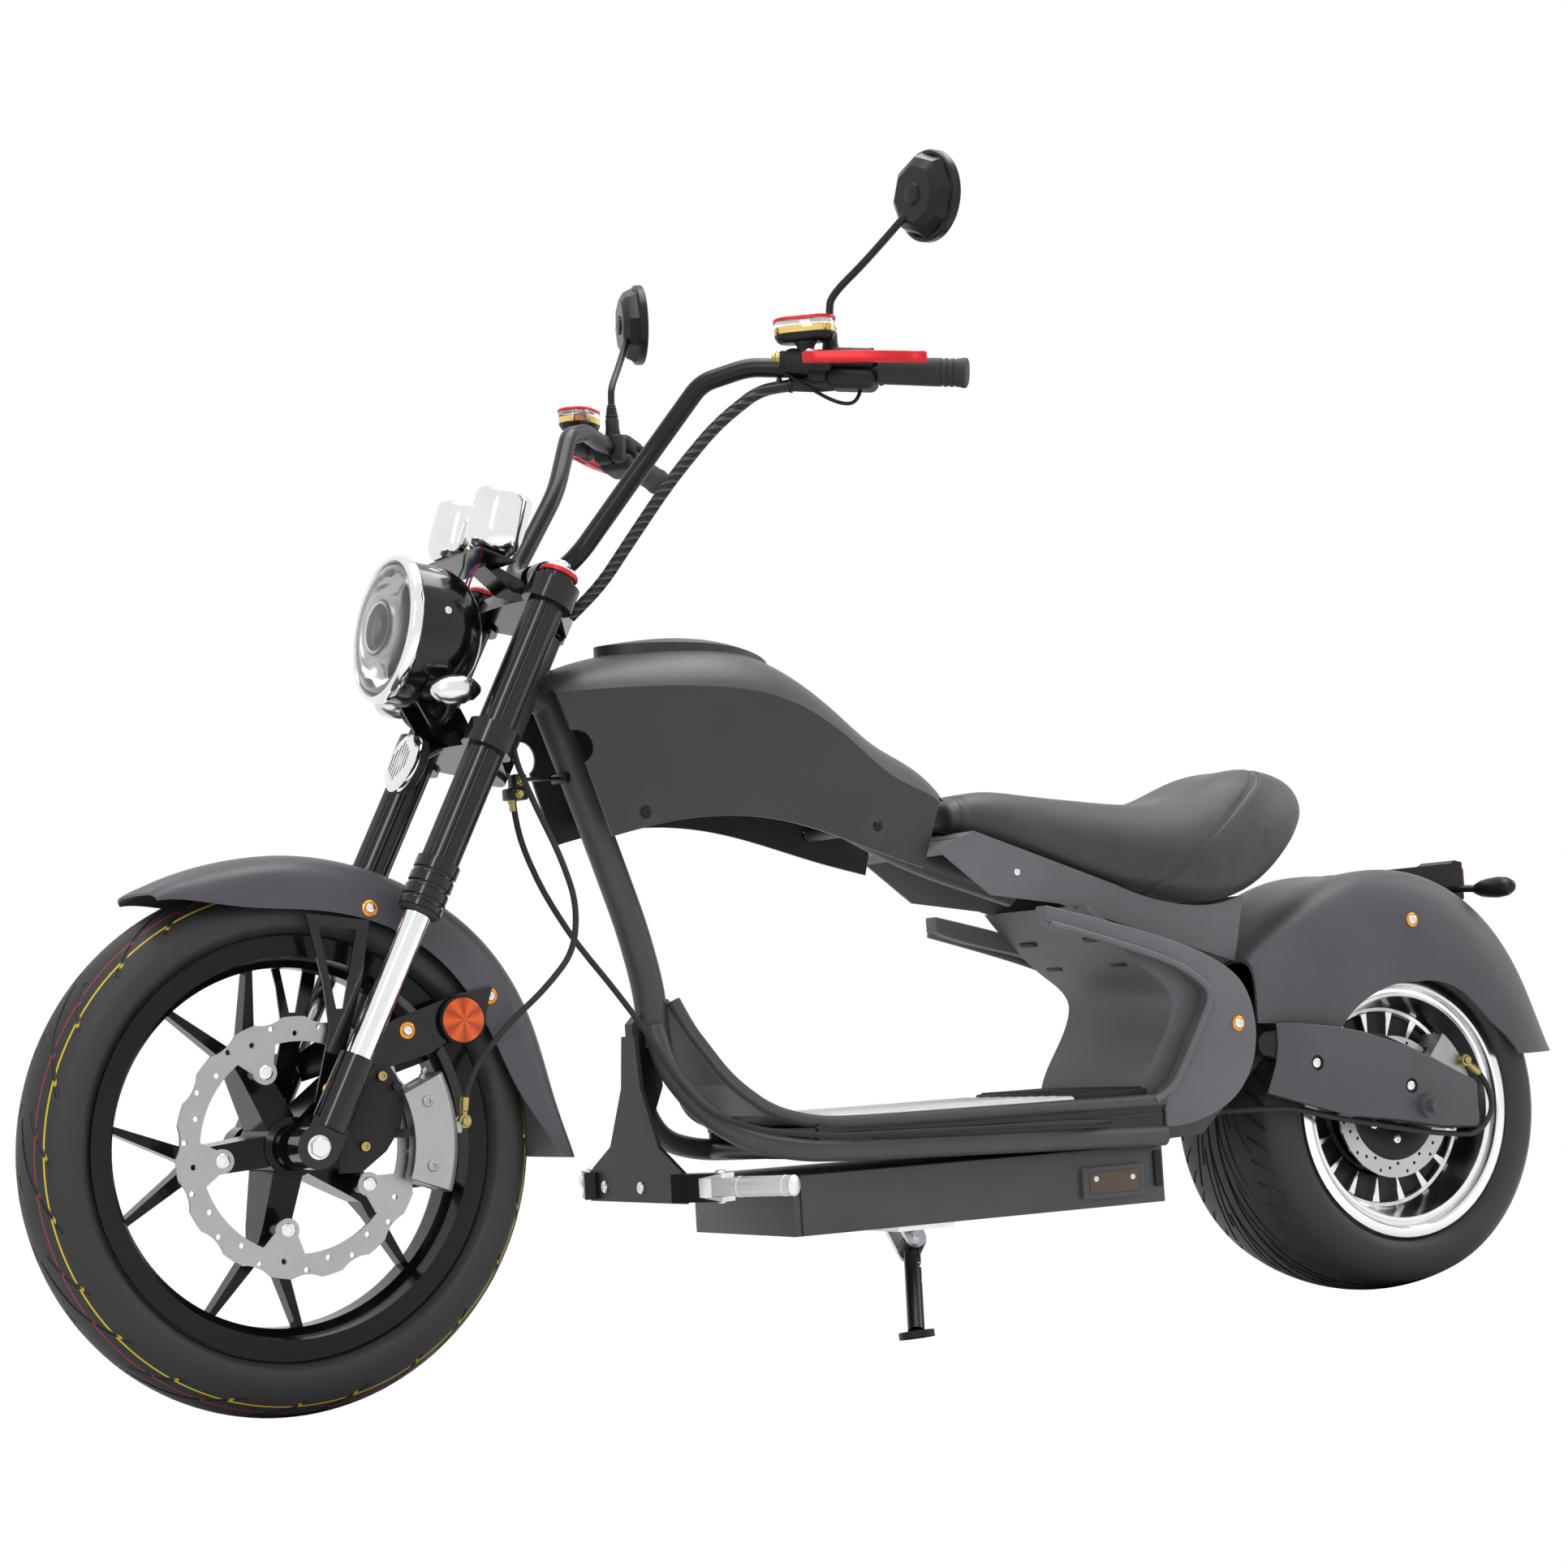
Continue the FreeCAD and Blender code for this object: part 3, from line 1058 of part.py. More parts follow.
# Hoses and loom, whole along their real routes
loom_r = 7.0
loom_end = in_fork(Part.Vertex(V(41.5, -72, upper_clamp_s - 4))).Point
loom_path = [at_bar(196) - Z * 18.6, V(-218, -222, 1112), V(-262, -198, 1076), V(-306, -165, 1018),
             V(-338, -124, 958), V(-366, -92, 906), loom_end]
nodes["cable_loom"] = cord("cable_loom", loom_path, loom_r)
hose_r = 3.5
front_hose = [V(-470, -55, 771), V(-473.5, -58.2, 717), V(-456, -70, 660), V(-430, -76, 600), V(-413, -78, 545),
              V(-420, -79, 490), V(-461, -80, 448), V(-508, -79, 412), V(-545, -76, 372), V(-560, -71, 338),
              V(-561, -64, 308)]
nodes["front_brake_hose"] = cord("front_brake_hose", front_hose, hose_r)
rear_hose = [V(-450, 0, 678), V(-443, 0, 624), V(-422, -4, 568), V(-390, -16, 506), V(-350, -32, 448),
             V(-318, -52, 392), V(-300, -76, 340), V(-272, -104, 296), V(-220, -126, 274), V(-140, -145, 262),
             V(-45, -148, 260), V(50, -146, 257), V(145, -148, 256), V(230, -142, 253), V(290, -120, 252),
             V(340, -93, 251), V(400, -88, 254), V(440, -90, 253), V(486, -113, 251), V(540, -130, 251),
             V(602, -132, 235), V(690, -130, 218), V(770, -129, 203), V(850, -127, 196), V(888, -116, 228),
             V(886, -104, 268), V(858, -97.8, 292)]
nodes["rear_brake_hose"] = cord("rear_brake_hose", rear_hose, hose_r)

# Stand it on the ground: the ground plane becomes z = 0
new_z = normal
new_y = new_z.cross(X).normalize()
new_x = new_y.cross(new_z)
stance = FreeCAD.Matrix(
    new_x.x, new_x.y, new_x.z, 0,
    new_y.x, new_y.y, new_y.z, 0,
    new_z.x, new_z.y, new_z.z, -level,
    0, 0, 0, 1)

placed = {}
for name, shape in nodes.items():
    placed[name] = shape.transformed(stance, True)

whole = Part.makeCompound(list(placed.values()))
bounds = whole.optimalBoundingBox(False)
centre_shift = V(-(bounds.XMin + bounds.XMax) / 2, -(bounds.YMin + bounds.YMax) / 2, 0)
for name, shape in placed.items():
    shape.translate(centre_shift)
    shape.exportStep("parts/" + name + ".step")
    solids = shape.Solids
    print(name, len(solids), "solids", round(sum(s.Volume for s in solids) / 1e3, 1), "cm3",
          "valid" if shape.isValid() else "INVALID")
print("bounds", bounds, "shift", centre_shift)
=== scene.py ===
import bpy
import json
import math
from mathutils import Matrix, Vector


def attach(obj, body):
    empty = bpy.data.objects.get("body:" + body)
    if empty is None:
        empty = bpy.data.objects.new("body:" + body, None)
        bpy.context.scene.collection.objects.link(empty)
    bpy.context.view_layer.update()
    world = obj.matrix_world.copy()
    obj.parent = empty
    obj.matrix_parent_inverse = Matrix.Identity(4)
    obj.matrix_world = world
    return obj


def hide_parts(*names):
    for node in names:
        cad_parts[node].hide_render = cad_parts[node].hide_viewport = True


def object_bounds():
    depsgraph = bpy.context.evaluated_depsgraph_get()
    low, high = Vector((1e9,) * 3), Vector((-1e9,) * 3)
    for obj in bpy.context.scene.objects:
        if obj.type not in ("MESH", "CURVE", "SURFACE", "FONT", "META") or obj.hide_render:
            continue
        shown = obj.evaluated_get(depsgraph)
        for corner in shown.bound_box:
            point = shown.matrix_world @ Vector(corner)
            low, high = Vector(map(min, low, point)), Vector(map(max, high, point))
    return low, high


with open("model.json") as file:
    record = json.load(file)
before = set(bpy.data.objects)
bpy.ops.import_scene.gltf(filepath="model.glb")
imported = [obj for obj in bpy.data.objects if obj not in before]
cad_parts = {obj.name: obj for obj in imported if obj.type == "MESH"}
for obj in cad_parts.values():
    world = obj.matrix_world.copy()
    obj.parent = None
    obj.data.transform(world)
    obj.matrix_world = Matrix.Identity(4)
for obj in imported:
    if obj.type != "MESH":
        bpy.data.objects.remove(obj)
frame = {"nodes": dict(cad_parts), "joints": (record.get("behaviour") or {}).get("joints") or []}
cad_low, cad_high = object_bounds()

# Places are given as the machine stands upright, in millimetres: +X to the rear, -Y to the rider's
# left, +Z up, from the ground midway between the axles. STANCE leans that onto its side stand.
WHEELBASE = 1507.4
FRONT_R = 293.0
REAR_R = 238.4
FRONT_AXLE = Vector((-WHEELBASE / 2, 0, FRONT_R)) / 1000
REAR_AXLE = Vector((WHEELBASE / 2, 0, REAR_R)) / 1000
AXIS_X = Vector((1, 0, 0))
AXIS_Y = Vector((0, 1, 0))
AXIS_Z = Vector((0, 0, 1))
LEFT = Vector((0, -1, 0))
SIDES = (-1, 1)

joints = {j["name"]: j for j in frame["joints"]}
across = Vector(joints["rear_wheel"]["axis"]).normalized()
front_hub = Vector(joints["front_wheel"]["pos_m"])
rear_hub = Vector(joints["rear_wheel"]["pos_m"])
drop = (FRONT_R - REAR_R) / 1000
run = WHEELBASE / 1000
along = (rear_hub - front_hub).normalized()
upward = along.cross(across)
span = math.hypot(run, drop)
bike_x = (along * run + upward * drop) / span
bike_z = (upward * run - along * drop) / span
TURN = Matrix((bike_x, across, bike_z)).transposed()
STANCE = Matrix.Translation(rear_hub - TURN @ REAR_AXLE) @ TURN.to_4x4()


def at(x, y, z):
    """A place on the upright machine, in metres."""
    return Vector((x, y, z)) / 1000


def moved(x, y, z):
    return Matrix.Translation(at(x, y, z))


def spun(degrees, axis):
    return Matrix.Rotation(math.radians(degrees), 4, axis)


def round_hub(hub, radius, y, angle):
    """A place at a radius from a hub, its angle in radians from the top towards the rear."""
    return hub + at(radius * math.sin(angle), y, radius * math.cos(angle))


# Camera, matched to the photograph by its wheels, bars and floor
YAW, PITCH, ROLL = 0.5274, 0.0679, -0.0603
EYE = Vector((-2.1452, -3.5334, 0.4026))
FOCAL_PIXELS = 4200.7
PHOTO_PIXELS = 1932
SENSOR = 36.0
ahead = Vector((math.sin(YAW) * math.cos(PITCH), math.cos(YAW) * math.cos(PITCH), math.sin(PITCH)))
level_right = ahead.cross(AXIS_Z).normalized()
level_up = level_right.cross(ahead)
right = level_right * math.cos(ROLL) + level_up * math.sin(ROLL)
up = level_up * math.cos(ROLL) - level_right * math.sin(ROLL)
bpy.ops.object.camera_add()
camera = bpy.context.object
camera.name = "camera"
camera.data.sensor_width = SENSOR
camera.data.lens = SENSOR * FOCAL_PIXELS / PHOTO_PIXELS
camera.data.clip_start = 0.1
camera.data.clip_end = 100.0
view_turn = Matrix((right, up, -ahead)).transposed().to_4x4()
camera.matrix_world = STANCE @ Matrix.Translation(EYE) @ view_turn
bpy.context.scene.camera = camera
bpy.context.scene.view_settings.view_transform = "Standard"


# Shader helpers
def shade(name):
    material = bpy.data.materials.new(name)
    material.use_nodes = True
    tree = material.node_tree
    return material, tree, tree.nodes["Principled BSDF"]


def feed(tree, socket, value):
    """Links an output to a socket, or sets the socket's own value."""
    if isinstance(value, bpy.types.NodeSocket):
        tree.links.new(value, socket)
    elif socket.type == "RGBA":
        socket.default_value = (*value, 1)
    else:
        socket.default_value = value


def set_up(tree, made, **settings):
    """Gives a node its settings; one named after a socket, with _ for a space, feeds that socket."""
    for key, value in settings.items():
        label = key.replace("_", " ")
        if label in made.inputs:
            feed(tree, made.inputs[label], value)
        else:
            setattr(made, key, value)
    return made


def node(tree, kind, **settings):
    """Adds a shader node and gives its outputs."""
    return set_up(tree, tree.nodes.new("ShaderNode" + kind), **settings).outputs


def calc(tree, operation, *values, kind="Math", out="Value", **settings):
    """Adds a Math or VectorMath node on values or outputs and gives its result."""
    made = set_up(tree, tree.nodes.new("ShaderNode" + kind), operation=operation, **settings)
    for socket, value in zip(made.inputs, values):
        feed(tree, socket, value)
    return made.outputs[out]


def object_place(tree):
    return node(tree, "TexCoord")["Object"]


def new_group(name, inputs, outputs):
    """A node group with inputs and their first values, and float outputs."""
    group = bpy.data.node_groups.new(name, "ShaderNodeTree")
    for label, value in inputs.items():
        kind = "NodeSocketVector" if isinstance(value, tuple) else "NodeSocketFloat"
        group.interface.new_socket(name=label, in_out="INPUT", socket_type=kind).default_value = value
    for label in outputs:
        group.interface.new_socket(name=label, in_out="OUTPUT", socket_type="NodeSocketFloat")
    return group, group.nodes.new("NodeGroupInput").outputs, group.nodes.new("NodeGroupOutput")


def use_group(tree, group, **values):
    made = tree.nodes.new("ShaderNodeGroup")
    made.node_tree = group
    return set_up(tree, made, **values).outputs


def make_uneven():
    """Slow cloudy change of a finish over the surface, from 0 to 1."""
    group, source, sink = new_group("Uneven finish", {"Scale": 8.0}, ["Mask"])
    cloud = node(group, "TexNoise", Vector=object_place(group), Scale=source["Scale"], Detail=5.0,
                 Roughness=0.6)
    set_up(group, sink,
           Mask=node(group, "MapRange", Value=cloud["Fac"], From_Min=0.32, From_Max=0.68)["Result"])
    return group


def make_grain():
    """Fine moulded or powder-coat grain as a height."""
    group, source, sink = new_group("Fine grain", {"Scale": 900.0}, ["Height"])
    place = object_place(group)
    pits = node(group, "TexVoronoi", feature="SMOOTH_F1", Vector=place, Scale=source["Scale"])
    fuzz = node(group, "TexNoise", Vector=place, Scale=source["Scale"], Detail=3.0)
    set_up(group, sink, Height=calc(group, "MULTIPLY", pits["Distance"], fuzz["Fac"]))
    return group


def make_edge_wear():
    """1 on sharp outer edges, broken up by noise."""
    group, source, sink = new_group("Edge wear", {"Amount": 0.5}, ["Mask"])
    shape = node(group, "NewGeometry")
    edge = node(group, "MapRange", Value=shape["Pointiness"], From_Min=0.54, From_Max=0.62)
    chips = node(group, "TexNoise", Vector=object_place(group), Scale=70.0, Detail=6.0)
    worn = calc(group, "MULTIPLY", edge["Result"], chips["Fac"])
    set_up(group, sink, Mask=calc(group, "MULTIPLY", worn, source["Amount"], use_clamp=True))
    return group


def make_round_axle():
    """Distance from a wheel's axis and place along it, in metres."""
    group, source, sink = new_group("Round the axle", {"Hub": (0, 0, 0), "Axis": (0, 1, 0)},
                                    ["Radius", "Across"])
    offset = calc(group, "SUBTRACT", object_place(group), source["Hub"], kind="VectorMath", out="Vector")
    side = calc(group, "CROSS_PRODUCT", offset, source["Axis"], kind="VectorMath", out="Vector")
    set_up(group, sink, Radius=calc(group, "LENGTH", side, kind="VectorMath"),
           Across=calc(group, "DOT_PRODUCT", offset, source["Axis"], kind="VectorMath"))
    return group


UNEVEN = make_uneven()
GRAIN = make_grain()
EDGE_WEAR = make_edge_wear()
ROUND_AXLE = make_round_axle()


def blend_colours(tree, mask, low, high):
    mix = node(tree, "Mix", data_type="RGBA", Factor=mask, A=low, B=high)
    return mix["Result"]


def blend_values(tree, mask, low, high):
    return node(tree, "MapRange", Value=mask, To_Min=low, To_Max=high)["Result"]


def times(colour, factor):
    return tuple(c * factor for c in colour)


def cloud_mask(tree, scale):
    return use_group(tree, UNEVEN, Scale=scale)["Mask"]


def add_bump(tree, shader, height, strength, distance):
    set_up(tree, shader,
           Normal=node(tree, "Bump", Strength=strength, Distance=distance, Height=height)["Normal"])


def add_grain(tree, shader, scale, strength, distance=0.0004):
    add_bump(tree, shader, use_group(tree, GRAIN, Scale=scale)["Height"], strength, distance)


def coated(name, colour, rough, grain_scale=900.0, grain=0.15, coat=0.0, metallic=0.0, light=None,
           specular=0.35):
    """Paint, powder coat or moulded plastic: uneven tone, fine grain and lighter worn edges."""
    material, tree, shader = shade(name)
    cloud = cloud_mask(tree, 7.0)
    base = blend_colours(tree, cloud, times(colour, 0.9), times(colour, 1.1))
    worn = use_group(tree, EDGE_WEAR, Amount=0.35)["Mask"]
    lighter = light or tuple(c * 1.6 + 0.01 for c in colour)
    set_up(tree, shader, Base_Color=blend_colours(tree, worn, base, lighter),
           Roughness=blend_values(tree, cloud, rough * 0.9, min(1.0, rough * 1.12)), Metallic=metallic,
           Coat_Weight=coat, Coat_Roughness=0.06, Specular_IOR_Level=specular)
    add_grain(tree, shader, grain_scale, grain)
    return material


def metal(name, rows_of, cloud, dull, colour, rough, streak, strength):
    """Metal whose fine rows set its gloss and relief, with cloudy handling marks."""
    material, tree, shader = shade(name)
    rows = rows_of(tree)
    set_up(tree, shader, Metallic=1.0, Roughness=blend_values(tree, rows, rough, rough + streak),
           Base_Color=blend_colours(tree, cloud_mask(tree, cloud), times(colour, dull), colour))
    add_bump(tree, shader, rows, strength, 0.0002)
    return material


def bare_metal(name, colour, rough, streak=0.08, scale=(60.0, 900.0, 60.0)):
    """Bare metal with fine drawn streaks."""
    def streaks(tree):
        stretch = node(tree, "Mapping", Vector=object_place(tree), Scale=scale)
        return node(tree, "TexNoise", Vector=stretch["Vector"], Scale=1.0, Detail=4.0)["Fac"]
    return metal(name, streaks, 16.0, 0.93, colour, rough, streak, 0.12)


def hub_rings(tree, hub, rings, detail):
    """Fine rings round a wheel's axis, and the distance from it."""
    radius = use_group(tree, ROUND_AXLE, Hub=tuple(hub), Axis=tuple(across))["Radius"]
    return node(tree, "TexNoise", noise_dimensions="1D", W=radius, Scale=rings, Detail=detail)["Fac"], radius


def turned_metal(name, colour, rough, hub):
    """Metal brushed in rings round a wheel's axis."""
    return metal(name, lambda tree: hub_rings(tree, hub, 4200.0, 3.0)[0], 20.0, 0.9, colour, rough, 0.2, 0.15)


def make_dish_metal():
    """Polished alloy with soft brownish clouds in the inner dish, a painted reflection."""
    material, tree, shader = shade("dish_metal")
    rows, radius = hub_rings(tree, rear_hub, 1800.0, 2.0)
    inner = node(tree, "MapRange", Value=radius, From_Min=0.146, From_Max=0.141)["Result"]
    # Brownish clouds inside the dish's inner radius: painted reflection in the base colour.
    dish_painted_reflection = calc(tree, "MULTIPLY", cloud_mask(tree, 13.0), inner)
    set_up(tree, shader, Metallic=1.0, Roughness=blend_values(tree, rows, 0.10, 0.24),
           Base_Color=blend_colours(tree, dish_painted_reflection, (0.80, 0.81, 0.82), (0.24, 0.21, 0.18)))
    add_bump(tree, shader, rows, 0.10, 0.0003)
    return material


def make_tyre_rubber(name, hub, stripes):
    """Black rubber of cloudy, uneven tone with thin coloured lines."""
    material, tree, shader = shade(name)
    polar = use_group(tree, ROUND_AXLE, Hub=tuple(hub), Axis=tuple(across))
    cloud = cloud_mask(tree, 11.0)
    colour = blend_colours(tree, cloud, (0.012, 0.012, 0.012), (0.019, 0.019, 0.019))
    for place, width, tint in stripes:
        gap = calc(tree, "ABSOLUTE", calc(tree, "SUBTRACT", polar["Across"], place))
        on_line = calc(tree, "MULTIPLY", calc(tree, "LESS_THAN", gap, width / 2),
                       calc(tree, "GREATER_THAN", polar["Radius"], 0.24))
        colour = blend_colours(tree, on_line, colour, tint)
    set_up(tree, shader, Base_Color=colour, Roughness=blend_values(tree, cloud, 0.5, 0.66))
    add_grain(tree, shader, 700.0, 0.25)
    return material


def make_leather():
    material, tree, shader = shade("seat_leather")
    place = object_place(tree)
    warp = node(tree, "TexNoise", Vector=place, Scale=160.0, Detail=3.0)
    shift = calc(tree, "MULTIPLY_ADD", warp["Color"], (0.004, 0.004, 0.004), place, kind="VectorMath",
                 out="Vector")
    cells = node(tree, "TexVoronoi", feature="DISTANCE_TO_EDGE", Vector=shift, Scale=420.0)
    cloud = cloud_mask(tree, 9.0)
    base = blend_colours(tree, cloud, (0.020, 0.020, 0.021), (0.030, 0.030, 0.031))
    worn = use_group(tree, EDGE_WEAR, Amount=0.25)["Mask"]
    set_up(tree, shader, Base_Color=blend_colours(tree, worn, base, (0.06, 0.06, 0.062)),
           Roughness=blend_values(tree, cloud, 0.38, 0.52), Sheen_Weight=0.05)
    add_bump(tree, shader, calc(tree, "MINIMUM", cells["Distance"], 0.12), 0.5, 0.0016)
    return material


def make_glass(name, colour, rough):
    material, tree, shader = shade(name)
    cloud = cloud_mask(tree, 30.0)
    set_up(tree, shader, Transmission_Weight=1.0, IOR=1.45,
           Roughness=blend_values(tree, cloud, rough, rough + 0.03),
           Base_Color=blend_colours(tree, cloud, colour, tuple(min(1.0, c * 1.03) for c in colour)))
    return material


def make_frosted():
    """Milky light ring behind the dome."""
    material, tree, shader = shade("frosted_ring")
    cloud = cloud_mask(tree, 60.0)
    set_up(tree, shader, Base_Color=blend_colours(tree, cloud, (0.80, 0.81, 0.86), (0.88, 0.89, 0.92)),
           Roughness=blend_values(tree, cloud, 0.22, 0.34), Coat_Weight=0.5)
    add_grain(tree, shader, 500.0, 0.2, 0.0005)
    return material


def make_reflector():
    """Orange prismatic plastic with pie-shaped fields of fine cells, each field shaded dark to bright as a
    painted reflection.
    """
    material, tree, shader = shade("orange_reflector")
    place = object_place(tree)
    offset = calc(tree, "SUBTRACT", place, STANCE @ REFLECTOR_AT, kind="VectorMath", out="Vector")
    sides = [calc(tree, "DOT_PRODUCT", offset, way, kind="VectorMath") for way in (bike_x, bike_z)]
    field = math.pi / 6
    # Dark-to-bright ramp across each pie field: painted reflection of the prisms.
    share = calc(tree, "DIVIDE", calc(tree, "PINGPONG", calc(tree, "ARCTAN2", *sides), field), field)
    cells = node(tree, "TexVoronoi", feature="F1", Vector=place, Scale=420.0)["Distance"]
    set_up(tree, shader, Base_Color=blend_colours(tree, share, (0.36, 0.030, 0.002), (0.78, 0.115, 0.006)),
           Roughness=blend_values(tree, cells, 0.15, 0.35), Coat_Weight=0.2, Specular_IOR_Level=0.3)
    add_bump(tree, shader, cells, 0.6, 0.0012)
    return material


def make_wrap():
    """Spiral plastic wrap: dark bands with pale edges and scuffs."""
    material, tree, shader = shade("spiral_wrap")
    place = object_place(tree)
    bands = node(tree, "TexWave", wave_type="BANDS", bands_direction="Z", Vector=place, Scale=42.0,
                 Distortion=1.4)["Fac"]
    specks = node(tree, "TexNoise", Vector=place, Scale=620.0, Detail=4.0)["Fac"]
    pale = calc(tree, "MULTIPLY", calc(tree, "POWER", bands, 6.0), specks)
    set_up(tree, shader, Base_Color=blend_colours(tree, pale, (0.010, 0.010, 0.010), (0.16, 0.16, 0.16)),
           Roughness=blend_values(tree, specks, 0.3, 0.6), Specular_IOR_Level=0.3)
    add_bump(tree, shader, bands, 0.8, 0.0016)
    return material


REFLECTOR_AT = at(-561, 0, 420)
YELLOW_LINE = (0.0016, (0.60, 0.45, 0.02))
RED_LINE = (0.0014, (0.30, 0.02, 0.03))
body_grey = coated("body_grey", (0.066, 0.064, 0.073), 0.46, grain_scale=1500.0, grain=0.10)
tank_grey = coated("tank_grey", (0.034, 0.033, 0.039), 0.42, grain_scale=1500.0, grain=0.10)
frame_grey = coated("frame_grey", (0.056, 0.055, 0.061), 0.42, grain_scale=1300.0, grain=0.12)
moulded_grey = coated("moulded_grey", (0.118, 0.113, 0.124), 0.52, grain_scale=1000.0, grain=0.3)
satin_black = coated("satin_black", (0.007, 0.007, 0.007), 0.30, grain=0.06, specular=0.25)
gloss_black = coated("gloss_black", (0.004, 0.004, 0.004), 0.16, grain=0.02, coat=0.25, specular=0.3)
wheel_black = coated("wheel_black", (0.004, 0.004, 0.004), 0.18, grain=0.02, coat=0.12, specular=0.14)
dull_black = coated("dull_black", (0.014, 0.014, 0.014), 0.55, grain_scale=700.0, grain=0.3, specular=0.25)
soft_rubber = coated("soft_rubber", (0.020, 0.020, 0.021), 0.66, grain_scale=800.0, grain=0.3)
red_anodised = coated("red_anodised", (0.55, 0.012, 0.02), 0.30, grain=0.06, metallic=0.35,
                      light=(0.8, 0.2, 0.2))
gold_anodised = coated("gold_anodised", (0.80, 0.30, 0.03), 0.28, grain=0.05, metallic=0.75,
                       light=(0.95, 0.6, 0.25))
dial_white = coated("dial_white", (0.75, 0.75, 0.72), 0.4, grain=0.03)
polished = bare_metal("polished", (0.84, 0.84, 0.85), 0.05, streak=0.05)
cast_silver = bare_metal("cast_silver", (0.40, 0.40, 0.41), 0.36, streak=0.15, scale=(500.0, 500.0, 500.0))
bright_zinc = bare_metal("bright_zinc", (0.78, 0.78, 0.79), 0.20, streak=0.06, scale=(300.0, 300.0, 300.0))
peg_alloy = bare_metal("peg_alloy", (0.80, 0.80, 0.82), 0.36, streak=0.06, scale=(240.0, 240.0, 240.0))
brass = bare_metal("brass", (0.42, 0.34, 0.13), 0.28)
mirror_glass = bare_metal("mirror_glass", (0.92, 0.93, 0.94), 0.02, streak=0.015)
front_disc_steel = turned_metal("front_disc_steel", (0.40, 0.40, 0.41), 0.26, front_hub)
rear_disc_steel = turned_metal("rear_disc_steel", (0.48, 0.48, 0.49), 0.26, rear_hub)
front_rubber = make_tyre_rubber("front_rubber", front_hub, [
    (side * y, *line) for side in SIDES for y, line in ((0.040, YELLOW_LINE), (0.030, RED_LINE))])
rear_rubber = make_tyre_rubber("rear_rubber", rear_hub, [])
seat_leather = make_leather()
clear_lens = make_glass("clear_lens", (0.97, 0.98, 0.98), 0.02)

finishes = {
    front_rubber: ["front_tyre"],
    rear_rubber: ["rear_tyre"],
    wheel_black: ["front_rim", "hub_motor"],
    gloss_black: ["fork_tubes", "fork_feet", "stem_clamps"],
    front_disc_steel: ["front_disc"],
    rear_disc_steel: ["rear_disc"],
    polished: ["rear_rim", "fork_inners", "headlamp", "gauges"],
    # The swingarm's satin black is painted shade: it darkens the eye between the covers into a gap.
    satin_black: ["handlebar", "brackets", "tail_bracket", "stand_leg", "swingarm"],
    dull_black: ["controls", "mirrors", "rear_lamps"],
    bright_zinc: ["front_axle", "front_signals"],
    peg_alloy: ["peg_left", "peg_right"],
    cast_silver: ["front_caliper", "rear_caliper"],
    body_grey: ["front_fender", "rear_fender", "rear_axle"],
    tank_grey: ["tank_cover"],
    frame_grey: ["main_frame", "floor_frame", "battery_box", "battery_pack"],
    moulded_grey: ["side_loops", "seat_cowl"],
    seat_leather: ["seat"],
    soft_rubber: ["grips", "front_brake_hose", "rear_brake_hose"],
    red_anodised: ["levers"],
    clear_lens: ["headlamp_lens", "reservoirs"],
    make_wrap(): ["cable_loom"],
}
for material, names in finishes.items():
    for name in names:
        held = frame["nodes"][name].data.materials
        held.clear()
        held.append(material)


# Modelling helpers. A piece is shaped upright in metres and then leaned with the machine.
def clear():
    if bpy.context.mode != "OBJECT":
        bpy.ops.object.mode_set(mode="OBJECT")
    bpy.ops.object.select_all(action="DESELECT")


def take(piece):
    clear()
    piece.select_set(True)
    bpy.context.view_layer.objects.active = piece


def edit(piece, kind="VERT"):
    take(piece)
    bpy.ops.object.mode_set(mode="EDIT")
    bpy.ops.mesh.select_mode(type=kind)
    bpy.ops.mesh.select_all(action="SELECT")


def done(piece):
    bpy.ops.object.mode_set(mode="OBJECT")
    return piece


def finish_with(piece, kind, **settings):
    take(piece)
    modifier = piece.modifiers.new(kind.lower(), kind)
    for key, value in settings.items():
        setattr(modifier, key, value)
    bpy.ops.object.modifier_apply(modifier=modifier.name)
    return piece


def ease(piece, width, segments=2, angle=40):
    """Rounds the edges sharper than an angle, by a width in millimetres."""
    return finish_with(piece, "BEVEL", width=width / 1000, segments=segments, angle_limit=math.radians(angle))


def tidy_shell(piece):
    edit(piece)
    bpy.ops.mesh.remove_doubles(threshold=0.00001)
    bpy.ops.mesh.normals_make_consistent(inside=False)
    return done(piece)


def join(pieces):
    clear()
    for piece in pieces:
        piece.select_set(True)
    bpy.context.view_layer.objects.active = pieces[0]
    bpy.ops.object.join()
    return bpy.context.object


def new_object(name, data):
    made = bpy.data.objects.new(name, data)
    bpy.context.scene.collection.objects.link(made)
    return made


def copy_of(piece, matrix=None):
    made = piece.copy()
    made.data = piece.data.copy()
    bpy.context.scene.collection.objects.link(made)
    if matrix is not None:
        made.matrix_world = matrix @ made.matrix_world
    return made


def upright_copy(name, node_name):
    """A CAD solid's mesh as a new piece on the upright machine, its loose triangles joined."""
    piece = new_object(name, frame["nodes"][node_name].data.copy())
    piece.matrix_world = STANCE.inverted()
    return tidy_shell(fix_place(piece))


def fix_place(piece):
    take(piece)
    bpy.ops.object.transform_apply(location=True, rotation=True, scale=True)
    return piece


def about(centre, angle):
    """A turn about the line across the machine through a centre."""
    return Matrix.Translation(centre) @ Matrix.Rotation(angle, 4, "Y") @ Matrix.Translation(-centre)


MIRROR = Matrix.Diagonal((1, -1, 1, 1))


def other_side(piece):
    """A mirrored copy across the machine's middle plane, right way out."""
    made = fix_place(copy_of(piece, MIRROR))
    edit(made)
    bpy.ops.mesh.flip_normals()
    return done(made)


